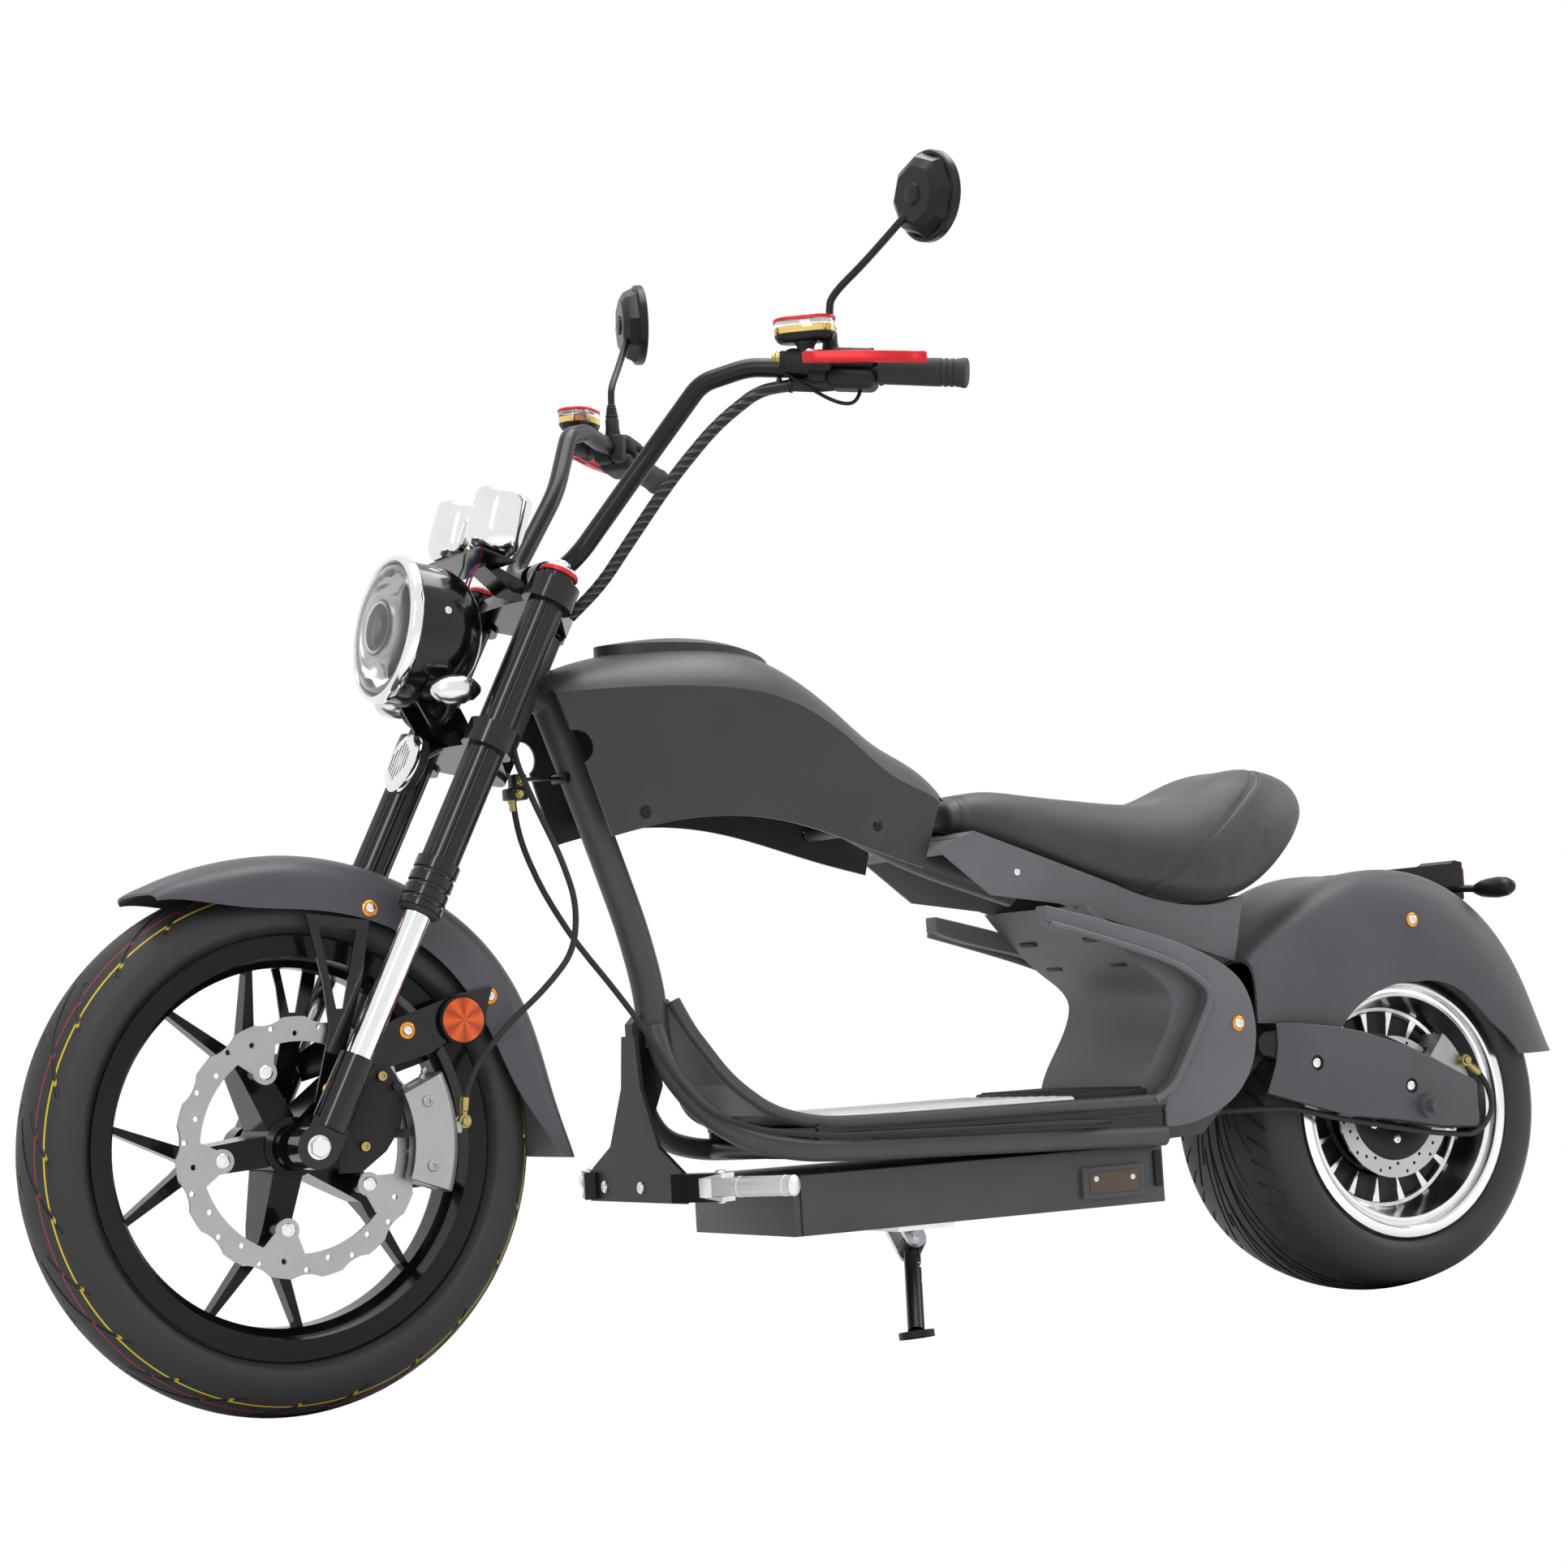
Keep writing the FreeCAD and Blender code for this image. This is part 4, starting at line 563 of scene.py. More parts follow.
def wear(piece, name, body, material, replaces=(), angle=35):
    """Leans a finished piece with the machine, gives it its finish and lets it ride on its body."""
    piece.name = name
    piece.matrix_world = STANCE @ piece.matrix_world
    fix_place(piece)
    bpy.ops.object.shade_smooth_by_angle(angle=math.radians(angle))
    piece.data.materials.clear()
    piece.data.materials.append(material)
    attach(piece, body)
    if replaces:
        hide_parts(*replaces)
    return piece


def facing(direction, origin):
    """Places a piece made along +Z so that it points along a direction from an origin."""
    return Matrix.Translation(origin) @ Vector(direction).to_track_quat("Z", "Y").to_matrix().to_4x4()


def chain(points):
    """A line of vertices, drawn by extruding one point through the others."""
    clear()
    bpy.ops.mesh.primitive_plane_add(size=0.001, location=points[0])
    piece = bpy.context.object
    fix_place(piece)
    edit(piece)
    bpy.ops.mesh.merge(type="CENTER")
    for a, b in zip(points, points[1:]):
        bpy.ops.mesh.extrude_region_move(TRANSFORM_OT_translate={"value": Vector(b) - Vector(a)})
    return piece


def drawn(points, closed=True, filled=True):
    """An outline ready in edit mode, all selected."""
    piece = chain(list(points) + ([points[0]] if closed else []))
    bpy.ops.mesh.select_all(action="SELECT")
    bpy.ops.mesh.remove_doubles(threshold=0.000001)
    if filled:
        bpy.ops.mesh.edge_face_add()
        bpy.ops.mesh.select_all(action="SELECT")
    return piece


def turned(points, centre, axis, steps=48, closed=False):
    """A chain spun about an axis."""
    piece = drawn(points, closed, filled=False)
    bpy.ops.mesh.spin(steps=steps, angle=2 * math.pi, center=centre, axis=axis)
    done(piece)
    return tidy_shell(piece)


def plate(points, thickness):
    """A flat outline filled and pulled out along a vector."""
    piece = drawn(points)
    bpy.ops.mesh.extrude_region_move(TRANSFORM_OT_translate={"value": Vector(thickness)})
    done(piece)
    return tidy_shell(piece)


def tube(points, radius, sides=4, steps=6):
    """A round bar along a smooth line."""
    line = bpy.data.curves.new("line", "CURVE")
    line.dimensions = "3D"
    line.bevel_depth = radius
    line.bevel_resolution = sides
    line.use_fill_caps = True
    line.resolution_u = steps
    spline = line.splines.new("NURBS")
    spline.points.add(len(points) - 1)
    for held, p in zip(spline.points, points):
        held.co = (*p, 1)
    spline.order_u = 3
    spline.use_endpoint_u = True
    take(new_object("line", line))
    bpy.ops.object.convert(target="MESH")
    return tidy_shell(bpy.context.object)


def cut(piece, cutter):
    finish_with(piece, "BOOLEAN", object=cutter, operation="DIFFERENCE", solver="MANIFOLD")
    bpy.data.objects.remove(cutter)
    return piece


# Tyres: shell turned to the section, tread cut in afterwards
FRONT_CROWN = 62
REAR_CROWN = 260
TYRE_STEPS = 144


def tyre_shell(hub, radius, width, crown_r, bead_r, flange_r, bead_y, steps):
    half = width / 2
    shoulder = half * 0.84
    side_r = bead_r + (radius - bead_r) * 0.42
    neck = flange_r + 1.5
    low = bead_y + (half - bead_y) * 0.75
    low_r = neck + (side_r - neck) * 0.38
    crown = [(y, radius - crown_r + math.sqrt(crown_r ** 2 - y ** 2))
             for y in [shoulder * (1 - i / 10) for i in range(21)]]
    shoulder_r = crown[0][1]
    wall = [(bead_y, bead_r + 0.3), (bead_y, neck), (low, low_r), (half * 0.985, (low_r + side_r) / 2),
            (half, side_r), (half * 0.975, side_r + (shoulder_r - side_r) * 0.5)]
    outer = wall + crown + [(-y, r) for y, r in reversed(wall)]
    inner = [(-bead_y + 8, bead_r + 0.3), (-half + 9, side_r), (-shoulder + 6, shoulder_r - 9),
             (0, radius - 12), (shoulder - 6, shoulder_r - 9), (half - 9, side_r), (bead_y - 8, bead_r + 0.3)]
    points = [hub + at(0, y, r) for y, r in outer + inner]
    return turned(points, hub, (0, 1, 0), steps=steps, closed=True)


def on_tread(hub, radius, crown_r, degrees, y, lift):
    crown = radius - crown_r + math.sqrt(crown_r ** 2 - y ** 2) + lift
    return round_hub(hub, crown, y, math.radians(degrees))


def tread_cutter(hub, radius, crown_r, patterns, width, lift):
    """Grooves as bars lying in the tread, each pattern repeated round the wheel on both sides."""
    grooves = []
    for path, count, first in patterns:
        for side in (1, -1):
            line = [on_tread(hub, radius, crown_r, a, y * side, lift) for a, y in path]
            groove = tube(line, width / 2000, sides=1, steps=3)
            for i in range(count):
                turn = math.radians(first + 360 * i / count + (180 / count if side < 0 else 0))
                grooves.append(fix_place(copy_of(groove, about(hub, turn))))
            bpy.data.objects.remove(groove)
    return join(grooves)


front_tyre = tyre_shell(FRONT_AXLE, FRONT_R, 112, FRONT_CROWN, 216, 229, 37.7, TYRE_STEPS)
cut(front_tyre, tread_cutter(FRONT_AXLE, FRONT_R, FRONT_CROWN, [
    ([(0, 47), (3, 42), (8, 34), (12, 25), (18, 15), (25, 6)], 12, 0),
    ([(0, 46), (2, 41), (5, 35), (8, 28), (11, 22)], 12, 15),
    ([(0, 5), (3, 1)], 12, 10)], 5.0, 0.3))
wear(front_tyre, "front_tyre_tread", "front_wheel", front_rubber, ["front_tyre"], angle=50)

rear_tyre = tyre_shell(REAR_AXLE, REAR_R, 217, REAR_CROWN, 152.4, 167.6, 92.7, TYRE_STEPS)
cut(rear_tyre, tread_cutter(REAR_AXLE, REAR_R, REAR_CROWN, [
    ([(0, 88), (2, 80), (4, 70), (5.5, 60)], 48, 0),
    ([(0, 62), (5, 50), (12, 40), (22, 30), (36, 22)], 16, 0),
    ([(0, 34), (8, 24), (20, 14), (34, 9)], 16, 8)], 5.6, 0.2))
for y in (-9, 9):
    groove = [(y - 2.6, 2), (y + 2.6, 2), (y + 1.8, -4.5), (y - 1.8, -4.5)]
    cut(rear_tyre, turned([REAR_AXLE + at(0, spot, REAR_R + rise) for spot, rise in groove], REAR_AXLE,
                          AXIS_Y, TYRE_STEPS, closed=True))
wear(rear_tyre, "rear_tyre_tread", "rear_wheel", rear_rubber, ["rear_tyre"], angle=50)

# Shared shapes for the fittings
ORIGIN = Vector((0, 0, 0))


def lathe(profile, steps=32, closed=False):
    """A profile of radius and height turned about +Z."""
    return turned([at(r, 0, z) for r, z in profile], ORIGIN, AXIS_Z, steps, closed)


def put(piece, matrix):
    piece.matrix_world = matrix @ piece.matrix_world
    return fix_place(piece)


def block(size, centre, bevel, segments=2):
    """A box with rounded edges."""
    clear()
    bpy.ops.mesh.primitive_cube_add(size=1, location=at(*centre))
    piece = bpy.context.object
    piece.scale = at(*size)
    fix_place(piece)
    return finish_with(piece, "BEVEL", width=bevel / 1000, segments=segments, limit_method="NONE")


def rod(a, b, radius, sides=24, bevel=0.0):
    """A round bar between two places, its rims eased."""
    clear()
    a = Vector(a)
    b = Vector(b)
    bpy.ops.mesh.primitive_cylinder_add(vertices=sides, radius=radius / 1000, depth=(b - a).length)
    piece = bpy.context.object
    piece.matrix_world = facing(b - a, (a + b) / 2)
    fix_place(piece)
    if bevel:
        ease(piece, bevel, angle=60)
    return piece


def round_plate(outline, y, thickness, bevel=0.8):
    """A sheet part cut to an outline of (x, z) places, lying across the machine, with eased edges."""
    piece = plate([at(x, y, z) for x, z in outline], at(0, thickness, 0))
    return ease(piece, bevel)


def bolt_head(radius, height):
    """Button head with a six-sided socket, seated at the origin and facing +Z."""
    head = lathe([(0, 0), (radius, 0), (radius, height * 0.5), (radius * 0.86, height * 0.85),
                  (radius * 0.6, height), (0, height)], 20)
    bpy.ops.mesh.primitive_cylinder_add(vertices=6, radius=radius * 0.0005, depth=height / 1000,
                                        location=at(0, 0, height * 1.05))
    return cut(head, bpy.context.object)


def hex_head(radius, height):
    """Six-sided head with a turned chamfer on a round flange."""
    clear()
    bpy.ops.mesh.primitive_cylinder_add(vertices=6, radius=radius / 1000, depth=height / 1000,
                                        location=at(0, 0, height / 2 + 1))
    head = finish_with(bpy.context.object, "BEVEL", width=0.0006, segments=1)
    flange = lathe([(0, 0), (radius * 1.15, 0), (radius * 1.15, 0.8), (radius * 0.9, 1.6), (0, 1.6)], 24)
    return join([head, flange])


def cup_washer(radius, height):
    """Anodised cup that holds a button head."""
    return lathe([(radius * 0.3, 0), (radius, 0), (radius * 0.98, height * 0.55), (radius * 0.8, height),
                  (radius * 0.66, height * 0.9), (radius * 0.62, height * 0.4),
                  (radius * 0.3, height * 0.35)],
                 24, closed=True)


def surface(name, x, z, side=-1):
    """Where a line across the machine at (x, z) meets a carried-over solid, and the way it faces."""
    solid = frame["nodes"][name]
    start = STANCE @ at(x, side * 600, z)
    way = STANCE.to_3x3() @ Vector((0, -side, 0))
    hit, place, normal, _ = solid.ray_cast(solid.matrix_world.inverted() @ start, way)
    assert hit, (name, x, z, side)
    upright = STANCE.inverted()
    return upright @ place, (upright.to_3x3() @ normal).normalized()


def spread_out(master, places):
    """One copy of a part for each (place, direction), joined; the first one is used up."""
    made = [put(copy_of(master), facing(way, place)) for place, way in places]
    bpy.data.objects.remove(master)
    return join(made)


def fasten(name, body, places, radius=5.5, height=3.2, cup=0.0, cup_height=2.6, finish=None):
    """Button-head bolts at (place, direction), each in an anodised cup where the real one has one."""
    seats = places
    if cup:
        wear(spread_out(cup_washer(cup, cup_height), places), name + "_cups", body, gold_anodised)
        seats = [(place + way.normalized() * cup_height * 0.0004, way) for place, way in places]
    return wear(spread_out(bolt_head(radius, height), seats), name + "_bolts", body, finish or bright_zinc)


def bolt_ring(hub, radius, y, count, first=0.0):
    """Places of a ring of bolts on the left of a wheel."""
    return [(round_hub(hub, radius, y, 2 * math.pi * i / count + first), LEFT) for i in range(count)]


# Front wheel: bolts of the disc and axle ends
fasten("front_disc", "front_wheel", bolt_ring(FRONT_AXLE, 90, -61.7, 5, math.radians(-23.6)), radius=8,
       height=3)
axle_ends = [put(hex_head(11.5, 5.5), facing((0, side, 0), FRONT_AXLE + at(0, side * 113.3, 0)))
             for side in SIDES]
axle_ends.append(rod(FRONT_AXLE + at(0, -113, 0), FRONT_AXLE + at(0, 113, 0), 6))
wear(join(axle_ends), "front_axle_bolt", "steering", bright_zinc, ["front_axle"])

# Rear wheel: polished dish, black web and tapered fins
dish_side = [(-100, 167.6), (-101.2, 163), (-101.2, 156.5), (-99, 154.2), (-90, 152.5), (-89, 147.5),
             (-91.5, 146.5), (-91.5, 142.6), (-88, 141.4), (-58, 131.5), (-52, 129), (-51, 124.5), (-48, 122),
             (-46, 122), (-46, 128)]
back_side = [(-92.7, 167.6), (-92.7, 152.4)]


def rear_ring(profile, steps=96):
    """A closed profile of (y, radius) turned about the rear axle."""
    return turned([REAR_AXLE + at(0, y, r) for y, r in profile], REAR_AXLE, AXIS_Y, steps, closed=True)


half_dish = rear_ring(dish_side + [(-60, 145), (-80, 149.5)] + list(reversed(back_side)))
dish = join([half_dish, other_side(half_dish), rear_ring([(-62, 152.2), (62, 152.2), (62, 147), (-62, 147)])])
wear(dish, "rear_rim_dish", "rear_wheel", make_dish_metal(), ["rear_rim"], angle=30)
web = rear_ring([(-44, 90), (-44, 128.5), (-36, 128.5), (-34, 146.8), (34, 146.8), (36, 128.5), (44, 128.5),
                 (44, 90), (38, 90), (38, 110), (-38, 110), (-38, 90)])
wear(web, "rear_rim_web", "rear_wheel", satin_black, ["rear_rim"])


def fin(side):
    y0 = side * 54
    y1 = side * 43
    points = [at(-5.5, y0, 124), at(5.5, y0, 124), at(1.4, y0 * 0.96, 92), at(-1.4, y0 * 0.96, 92)]
    piece = plate([REAR_AXLE + p for p in points], at(0, y1 - y0, 0))
    return finish_with(piece, "BEVEL", width=0.0007, segments=1)


FINS = 18
fins = []
for side in SIDES:
    first_fin = fin(side)
    for i in range(FINS):
        fins.append(fix_place(copy_of(first_fin, about(REAR_AXLE, 2 * math.pi * (i + 0.5) / FINS))))
    bpy.data.objects.remove(first_fin)
wear(join(fins), "rear_rim_fins", "rear_wheel", bright_zinc, ["rear_rim"])
fasten("rear_disc", "rear_wheel", bolt_ring(REAR_AXLE, 42, -76, 6), radius=6, height=3.4)

# Headlamp: black bucket, chrome ring, clear dome, bright bowl and projector
LAMP = moved(-596, 0, 866) @ spun(10, "Y") @ spun(90, "Y")


def lamp_part(name, finish, angle, steps, closed, profile, stands_for="headlamp"):
    """A profile of radius and depth to the rear, turned about the lamp's axis."""
    wear(put(lathe(profile, steps, closed), LAMP), "headlamp_" + name, "steering", finish, [stands_for],
         angle)


lamp_part("bucket", gloss_black, 50, 96, False, [
    (79, 9.6), (80.2, 10), (80.8, 13), (80.8, 44), (79, 60), (72, 76), (57, 92), (40, 102), (20, 107),
    (0, 108), (0, 104), (20, 103), (38, 98), (54, 88), (69, 73), (76, 58), (77.6, 44), (77.6, 9.6)])
lamp_part("ring", polished, 50, 96, True, [
    (75.9, 4), (76.4, -2), (79, -4.6), (82, -3.4), (84.4, 0), (85, 3), (84.6, 8), (83, 11), (80.6, 11.6),
    (76, 10)])
lamp_part("dome", clear_lens, 60, 96, False, [
    (75.4, 3), (72, -5.5), (60, -10.5), (45, -14.5), (25, -17), (0, -18), (0, -16.4), (25, -15.4), (45, -13),
    (60, -9), (70.5, -4), (73.4, 3)], "headlamp_lens")
lamp_part("bowl", polished, 25, 96, True, [
    (75.5, 5), (62, 7), (60, 10), (57, 15), (50, 30), (42, 40), (30, 46), (30, 48), (43, 42), (52, 31),
    (60, 15), (75.5, 8)])
lamp_part("halo", make_frosted(), 50, 96, True,
          [(75.2, 4.6), (68, 1.6), (62, 4), (62, 6.6), (75.2, 6.6)])
lamp_part("projector_ring", bright_zinc, 40, 64, True, [
    (30, 46), (30, 12), (28, 9), (25, 9), (24, 12), (24, 44)])
lamp_part("projector_lens", clear_lens, 60, 64, False, [
    (24, 13), (20, 5), (11, 0), (0, -2), (0, 2), (11, 4), (20, 9), (22.5, 15), (22.5, 40), (24, 40)])
lamp_part("projector_back", satin_black, 35, 32, False, [(22, 41), (22, 43), (0, 43), (0, 41)])
bucket_screws = [(LAMP @ at(-18, side * 78.6, 40), Vector((0, side, 0))) for side in SIDES]
fasten("headlamp_side", "steering", bucket_screws, radius=4.5, height=3)

# Gauge cups with dials
cup_shells = []
dial_faces = []
dial_rings = []
dial_glass = []
for side in SIDES:
    seat = moved(-487, side * 53, 945) @ spun(20, "Y")
    cup_shells.append(put(lathe([(0, 0.4), (14, 0.4), (24, 4), (30, 12), (32.4, 24), (33, 40), (33, 66),
                                 (32, 70), (29.5, 72), (28.4, 70.6), (28.4, 62), (0, 62)], 64), seat))
    dial_faces.append(put(lathe([(0, 62.2), (28, 62.2), (28, 63.4), (26.6, 63.8), (0, 63.8)], 64), seat))
    dial_rings.append(put(lathe([(13, 63.9), (14, 63.9), (14, 64.5), (13, 64.5)], 64, closed=True), seat))
    for k in range(25):
        wide, long = (0.9, 5.0) if k % 4 == 0 else (0.5, 3.0)
        mark = block((wide, long, 0.5), (0, 25 - long / 2, 64.0), 0.1, 1)
        dial_rings.append(put(mark, seat @ spun(-135 + 270 * k / 24, "Z")))
    needle = plate([at(-1.1, -4, 65), at(1.1, -4, 65), at(0.4, 20, 65), at(-0.4, 20, 65)], at(0, 0, 0.8))
    dial_rings.append(put(needle, seat @ spun(118, "Z")))
    dial_rings.append(put(lathe([(0, 64), (3, 64), (3, 66), (2, 66.8), (0, 66.8)], 20), seat))
    dial_glass.append(put(lathe([(28.2, 67.2), (20, 68.6), (0, 69.4), (0, 68.4), (20, 67.8), (28.2, 66.4)],
                                64),
                          seat))
wear(join(cup_shells), "gauge_cups", "steering", polished, ["gauges"], angle=50)
wear(join(dial_faces), "gauge_dials", "steering", dull_black, ["gauges"])
wear(join(dial_glass), "gauge_glass", "steering", clear_lens, ["gauges"], angle=50)
wear(join(dial_rings), "gauge_marks", "steering", dial_white, ["gauges"])

# Front signals on their stalks, and the horn with its louvred face
bullets = []
stalks = []
for side in SIDES:
    y = side * 78
    nose = facing((1, 0, 0), at(-580, y, 788))
    bullets.append(put(lathe([(0, 0), (6, 2.5), (12, 9), (16, 20), (17, 30), (16.4, 40), (13, 46), (9, 48),
                              (0, 48)],
                             40), nose))
    stalks.append(put(lathe([(0, 47.5), (12.6, 47), (12, 52), (7, 58), (5, 60), (0, 60)], 32), nose))
    stalks.append(tube([at(-550, y, 788), at(-548, y * 0.86, 774), at(-546, y * 0.6, 759),
                        at(-546, side * 26.5, 757)], 0.0052, sides=4))
wear(join(bullets), "front_signal_shells", "steering", bright_zinc, ["front_signals"], angle=50)
wear(join(stalks), "front_signal_stalks", "steering", satin_black, ["front_signals"], angle=50)

HORN = moved(-588, 0, 716) @ spun(24, "Y") @ spun(90, "Y")
horn_face = lathe([(0, 1.5), (10, 0.6), (27, 0.2), (33, 1.6), (36, 5), (36, 9), (34.5, 11), (33, 9),
                   (33, 5.5), (30, 3.2), (10, 3.0), (0, 3.6)], 64)
slots = []
vanes = []
for k in range(7):
    long = 22 + 9 * (3 - abs(k - 3))
    slots.append(block((long, 4.2, 14), (0, -21 + 7 * k, 2), 1.6))
    vanes.append(put(block((long + 2, 5.2, 0.9), (0, 0, 0), 0.3, 1),
                     moved(0, -21 + 7 * k, 4.6) @ spun(38, "X")))
cut(horn_face, join(slots))
wear(put(join([horn_face] + vanes), HORN), "horn_grille", "steering", polished, ["front_signals"],
     angle=40)
wear(put(lathe([(0, 10), (33.5, 10), (34.5, 13), (34, 20), (26, 24), (0, 24)], 48), HORN),
     "horn_body", "steering", dull_black, ["front_signals"])


# Fork: caps, red rings, rubber wipers on the chrome tubes
RAKE = 27.4
FORK = Matrix.Translation(FRONT_AXLE) @ spun(RAKE, "Y") @ moved(7.5, 0, 0)


def fork_place(back, y, s):
    return FORK @ moved(back, y, s)


FORK_HALF = 98
caps = []
rings = []
wipers = []
for y in (-FORK_HALF, FORK_HALF):
    leg = fork_place(0, y, 0)
    rings.append(put(lathe([(16, 703.4), (22.4, 703.4), (23, 705), (22.4, 708), (20, 709.4), (16, 709.4)], 40,
                           closed=True), leg))
    caps.append(put(lathe([(0, 704), (19.5, 704), (19.5, 711), (17.5, 713), (0, 713)], 40), leg))
    caps.append(put(hex_head(9, 8), fork_place(0, y, 712)))
    wipers.append(put(lathe([(15.7, 281), (18.5, 279.6), (22.5, 281), (23.5, 284.6), (15.9, 284.6)], 40,
                            closed=True),
                      leg))
caps.append(put(hex_head(14, 9), fork_place(45, 0, 708)))
wear(join(caps), "fork_caps", "steering", bright_zinc)
wear(join(rings), "fork_cap_rings", "steering", red_anodised)
wear(join(wipers), "fork_wipers", "steering", soft_rubber)

# Round side reflector in its black shell
reflector_shell = []
reflector_face = []
for side in SIDES:
    seat = facing((0, side, 0), REFLECTOR_AT + at(0, side * 71.2, 0))
    reflector_shell.append(put(lathe([(0, 0), (24, 0), (27, 2), (27.5, 6), (26.4, 7.6), (25, 7), (25, 4.4),
                                      (0, 4.4)],
                                     56), seat))
    reflector_face.append(put(lathe([(0, 4.6), (24.7, 4.6), (24.7, 7.4), (22, 8.6), (0, 9.4)], 56), seat))
wear(join(reflector_shell), "reflector_shells", "steering", satin_black)
wear(join(reflector_face), "reflector_faces", "steering", make_reflector())

# Bolts of the front fender, its stays and the caliper bracket
fender_bolts = [surface("front_fender", x, z, side) for x, z in ((-661, 548), (-522, 445)) for side in SIDES]
stay_bolts = [(at(x, side * 70.6, z), Vector((0, side, 0)))
              for x, z in ((-720, 352), (-692, 378), (-626, 412)) for side in SIDES]
fasten("front_fender", "steering", fender_bolts + stay_bolts, radius=5.4, height=3, cup=9.4, cup_height=2.4)

# Bar fittings, placed along the straight outer end of the left bar
BAR_TIP = at(-36, -370, 1111)
BAR_BEND = at(-222, -208, 1141)
bar_way = (BAR_TIP - BAR_BEND).normalized()
bar_front = Vector((bar_way.y, -bar_way.x, 0)).normalized()
bar_level = Vector((bar_way.x, bar_way.y, 0)).normalized()
BAR = Matrix((-bar_front, bar_way.cross(-bar_front), bar_way)).transposed().to_4x4()
BAR.translation = BAR_TIP
LEVEL = Matrix((bar_level, AXIS_Z.cross(bar_level), AXIS_Z)).transposed().to_4x4()


def on_bar(back, front=0.0, rise=0.0):
    """A place a distance back from the bar's tip, in front of it and above it, in millimetres."""
    return BAR_TIP + (bar_front * front + AXIS_Z * rise - bar_way * back) / 1000


def level_at(place):
    return Matrix.Translation(place) @ LEVEL


def pull(piece, way, chosen):
    """Moves the chosen vertices of a piece along a vector."""
    edit(piece)
    bpy.ops.mesh.select_all(action="DESELECT")
    bpy.ops.object.mode_set(mode="OBJECT")
    for corner in piece.data.vertices:
        corner.select = chosen(corner.co)
    bpy.ops.object.mode_set(mode="EDIT")
    bpy.ops.transform.translate(value=way)
    return done(piece)


def oval(profile, stretch):
    """A turned form pulled apart to an oval along X."""
    piece = lathe(profile, 48)
    pull(piece, at(stretch, 0, 0), lambda p: p.x > 0.00001)
    return pull(piece, at(-stretch, 0, 0), lambda p: p.x < -0.00001)


def both_sides(piece):
    return join([piece, other_side(piece)])


ribs = []
for k in range(3):
    z = -26 + 7 * k
    ribs += [(16.1, z), (15, z + 0.7), (15, z + 2.6), (16.1, z + 3.3)]
grip = put(lathe([(13.2, -96), (16.8, -96), (17.2, -94.6), (16.8, -93), (15.4, -91.4), (15.7, -60),
                  (16.1, -34)] + ribs +
                 [(16.2, -4), (16.8, -2.6), (17.2, -0.6), (16.8, 2.6), (14, 4), (0, 4.2)], 40), BAR)
wear(both_sides(grip), "grip_rubbers", "steering", soft_rubber, ["grips"], angle=50)

# Switch housings in two halves, with toggles on the rider's side
housing = []
for rise in (-11.9, 11.9):
    half = block((45, 22.8, 56), (0, rise, -127), 10, 5)
    housing.append(put(half, BAR))
for shape, spot in (((7, 9, 13), (24, 9, -116)), ((6, 12, 8), (24, -9, -118)), ((5, 8, 8), (24, -2, -136))):
    housing.append(put(block(shape, spot, 2.2), BAR))
for y in (-9, 9):
    housing.append(put(bolt_head(3.4, 2.4), BAR @ moved(0, 23.2, -120.5 + y * 1.4) @ spun(-90, "X")))
clamp_half = put(block((21, 36, 22), (-8.7, 0, -165), 5.5, 3), BAR)
clamp_back = put(block((17, 36, 20), (11.3, 0, -165), 5.5, 3), BAR)
arm_block = put(block((22, 19, 22), (-27, 3, -163), 4, 3), BAR)
neck = put(lathe([(0, 9), (8.6, 9), (9, 16), (11, 21), (13, 23.9), (0, 23.9)], 32), level_at(on_bar(174, 36)))
boss = put(lathe([(0, 16), (9.4, 16), (9.6, 24), (8.6, 30), (8.6, 41), (7, 43.8), (0, 43.8)], 32),
           level_at(on_bar(152)))
drum_at = on_bar(146, 36, 4)
drum_way = on_bar(214, 33, 6) - drum_at
drum = put(lathe([(0, 0), (9, 0), (11, 1.4), (11.8, 4), (11.8, 16), (11, 17), (11, 19), (11.8, 20),
                  (11.8, 46), (10, 51), (8.4, 53), (8.4, 58), (0, 58)], 40), facing(drum_way, drum_at))
wear(both_sides(join(housing + [clamp_half, clamp_back, arm_block, neck, boss, drum])),
     "bar_housings", "steering", dull_black, ["controls"], angle=40)
banjo = put(lathe([(0, 58), (7.5, 58), (7.5, 60), (6.4, 60.6), (6.4, 63), (7.5, 63.6), (7.5, 65.4),
                   (0, 65.4)], 32),
            facing(drum_way, drum_at))
banjo_hex = put(hex_head(5.2, 3.6), facing(drum_way, drum_at) @ Matrix.Translation(at(0, 0, 63.4)))
wear(both_sides(join([banjo, banjo_hex])), "bar_banjos", "steering", brass, ["controls"],
     angle=40)
clamp_spots = [(BAR @ at(-18, rise, -147.5), -(BAR.to_3x3() @ AXIS_X)) for rise in (-11, 11)]
clamp_screws = spread_out(bolt_head(3.6, 3), clamp_spots)
wear(both_sides(clamp_screws), "bar_clamp_bolts", "steering", bright_zinc)

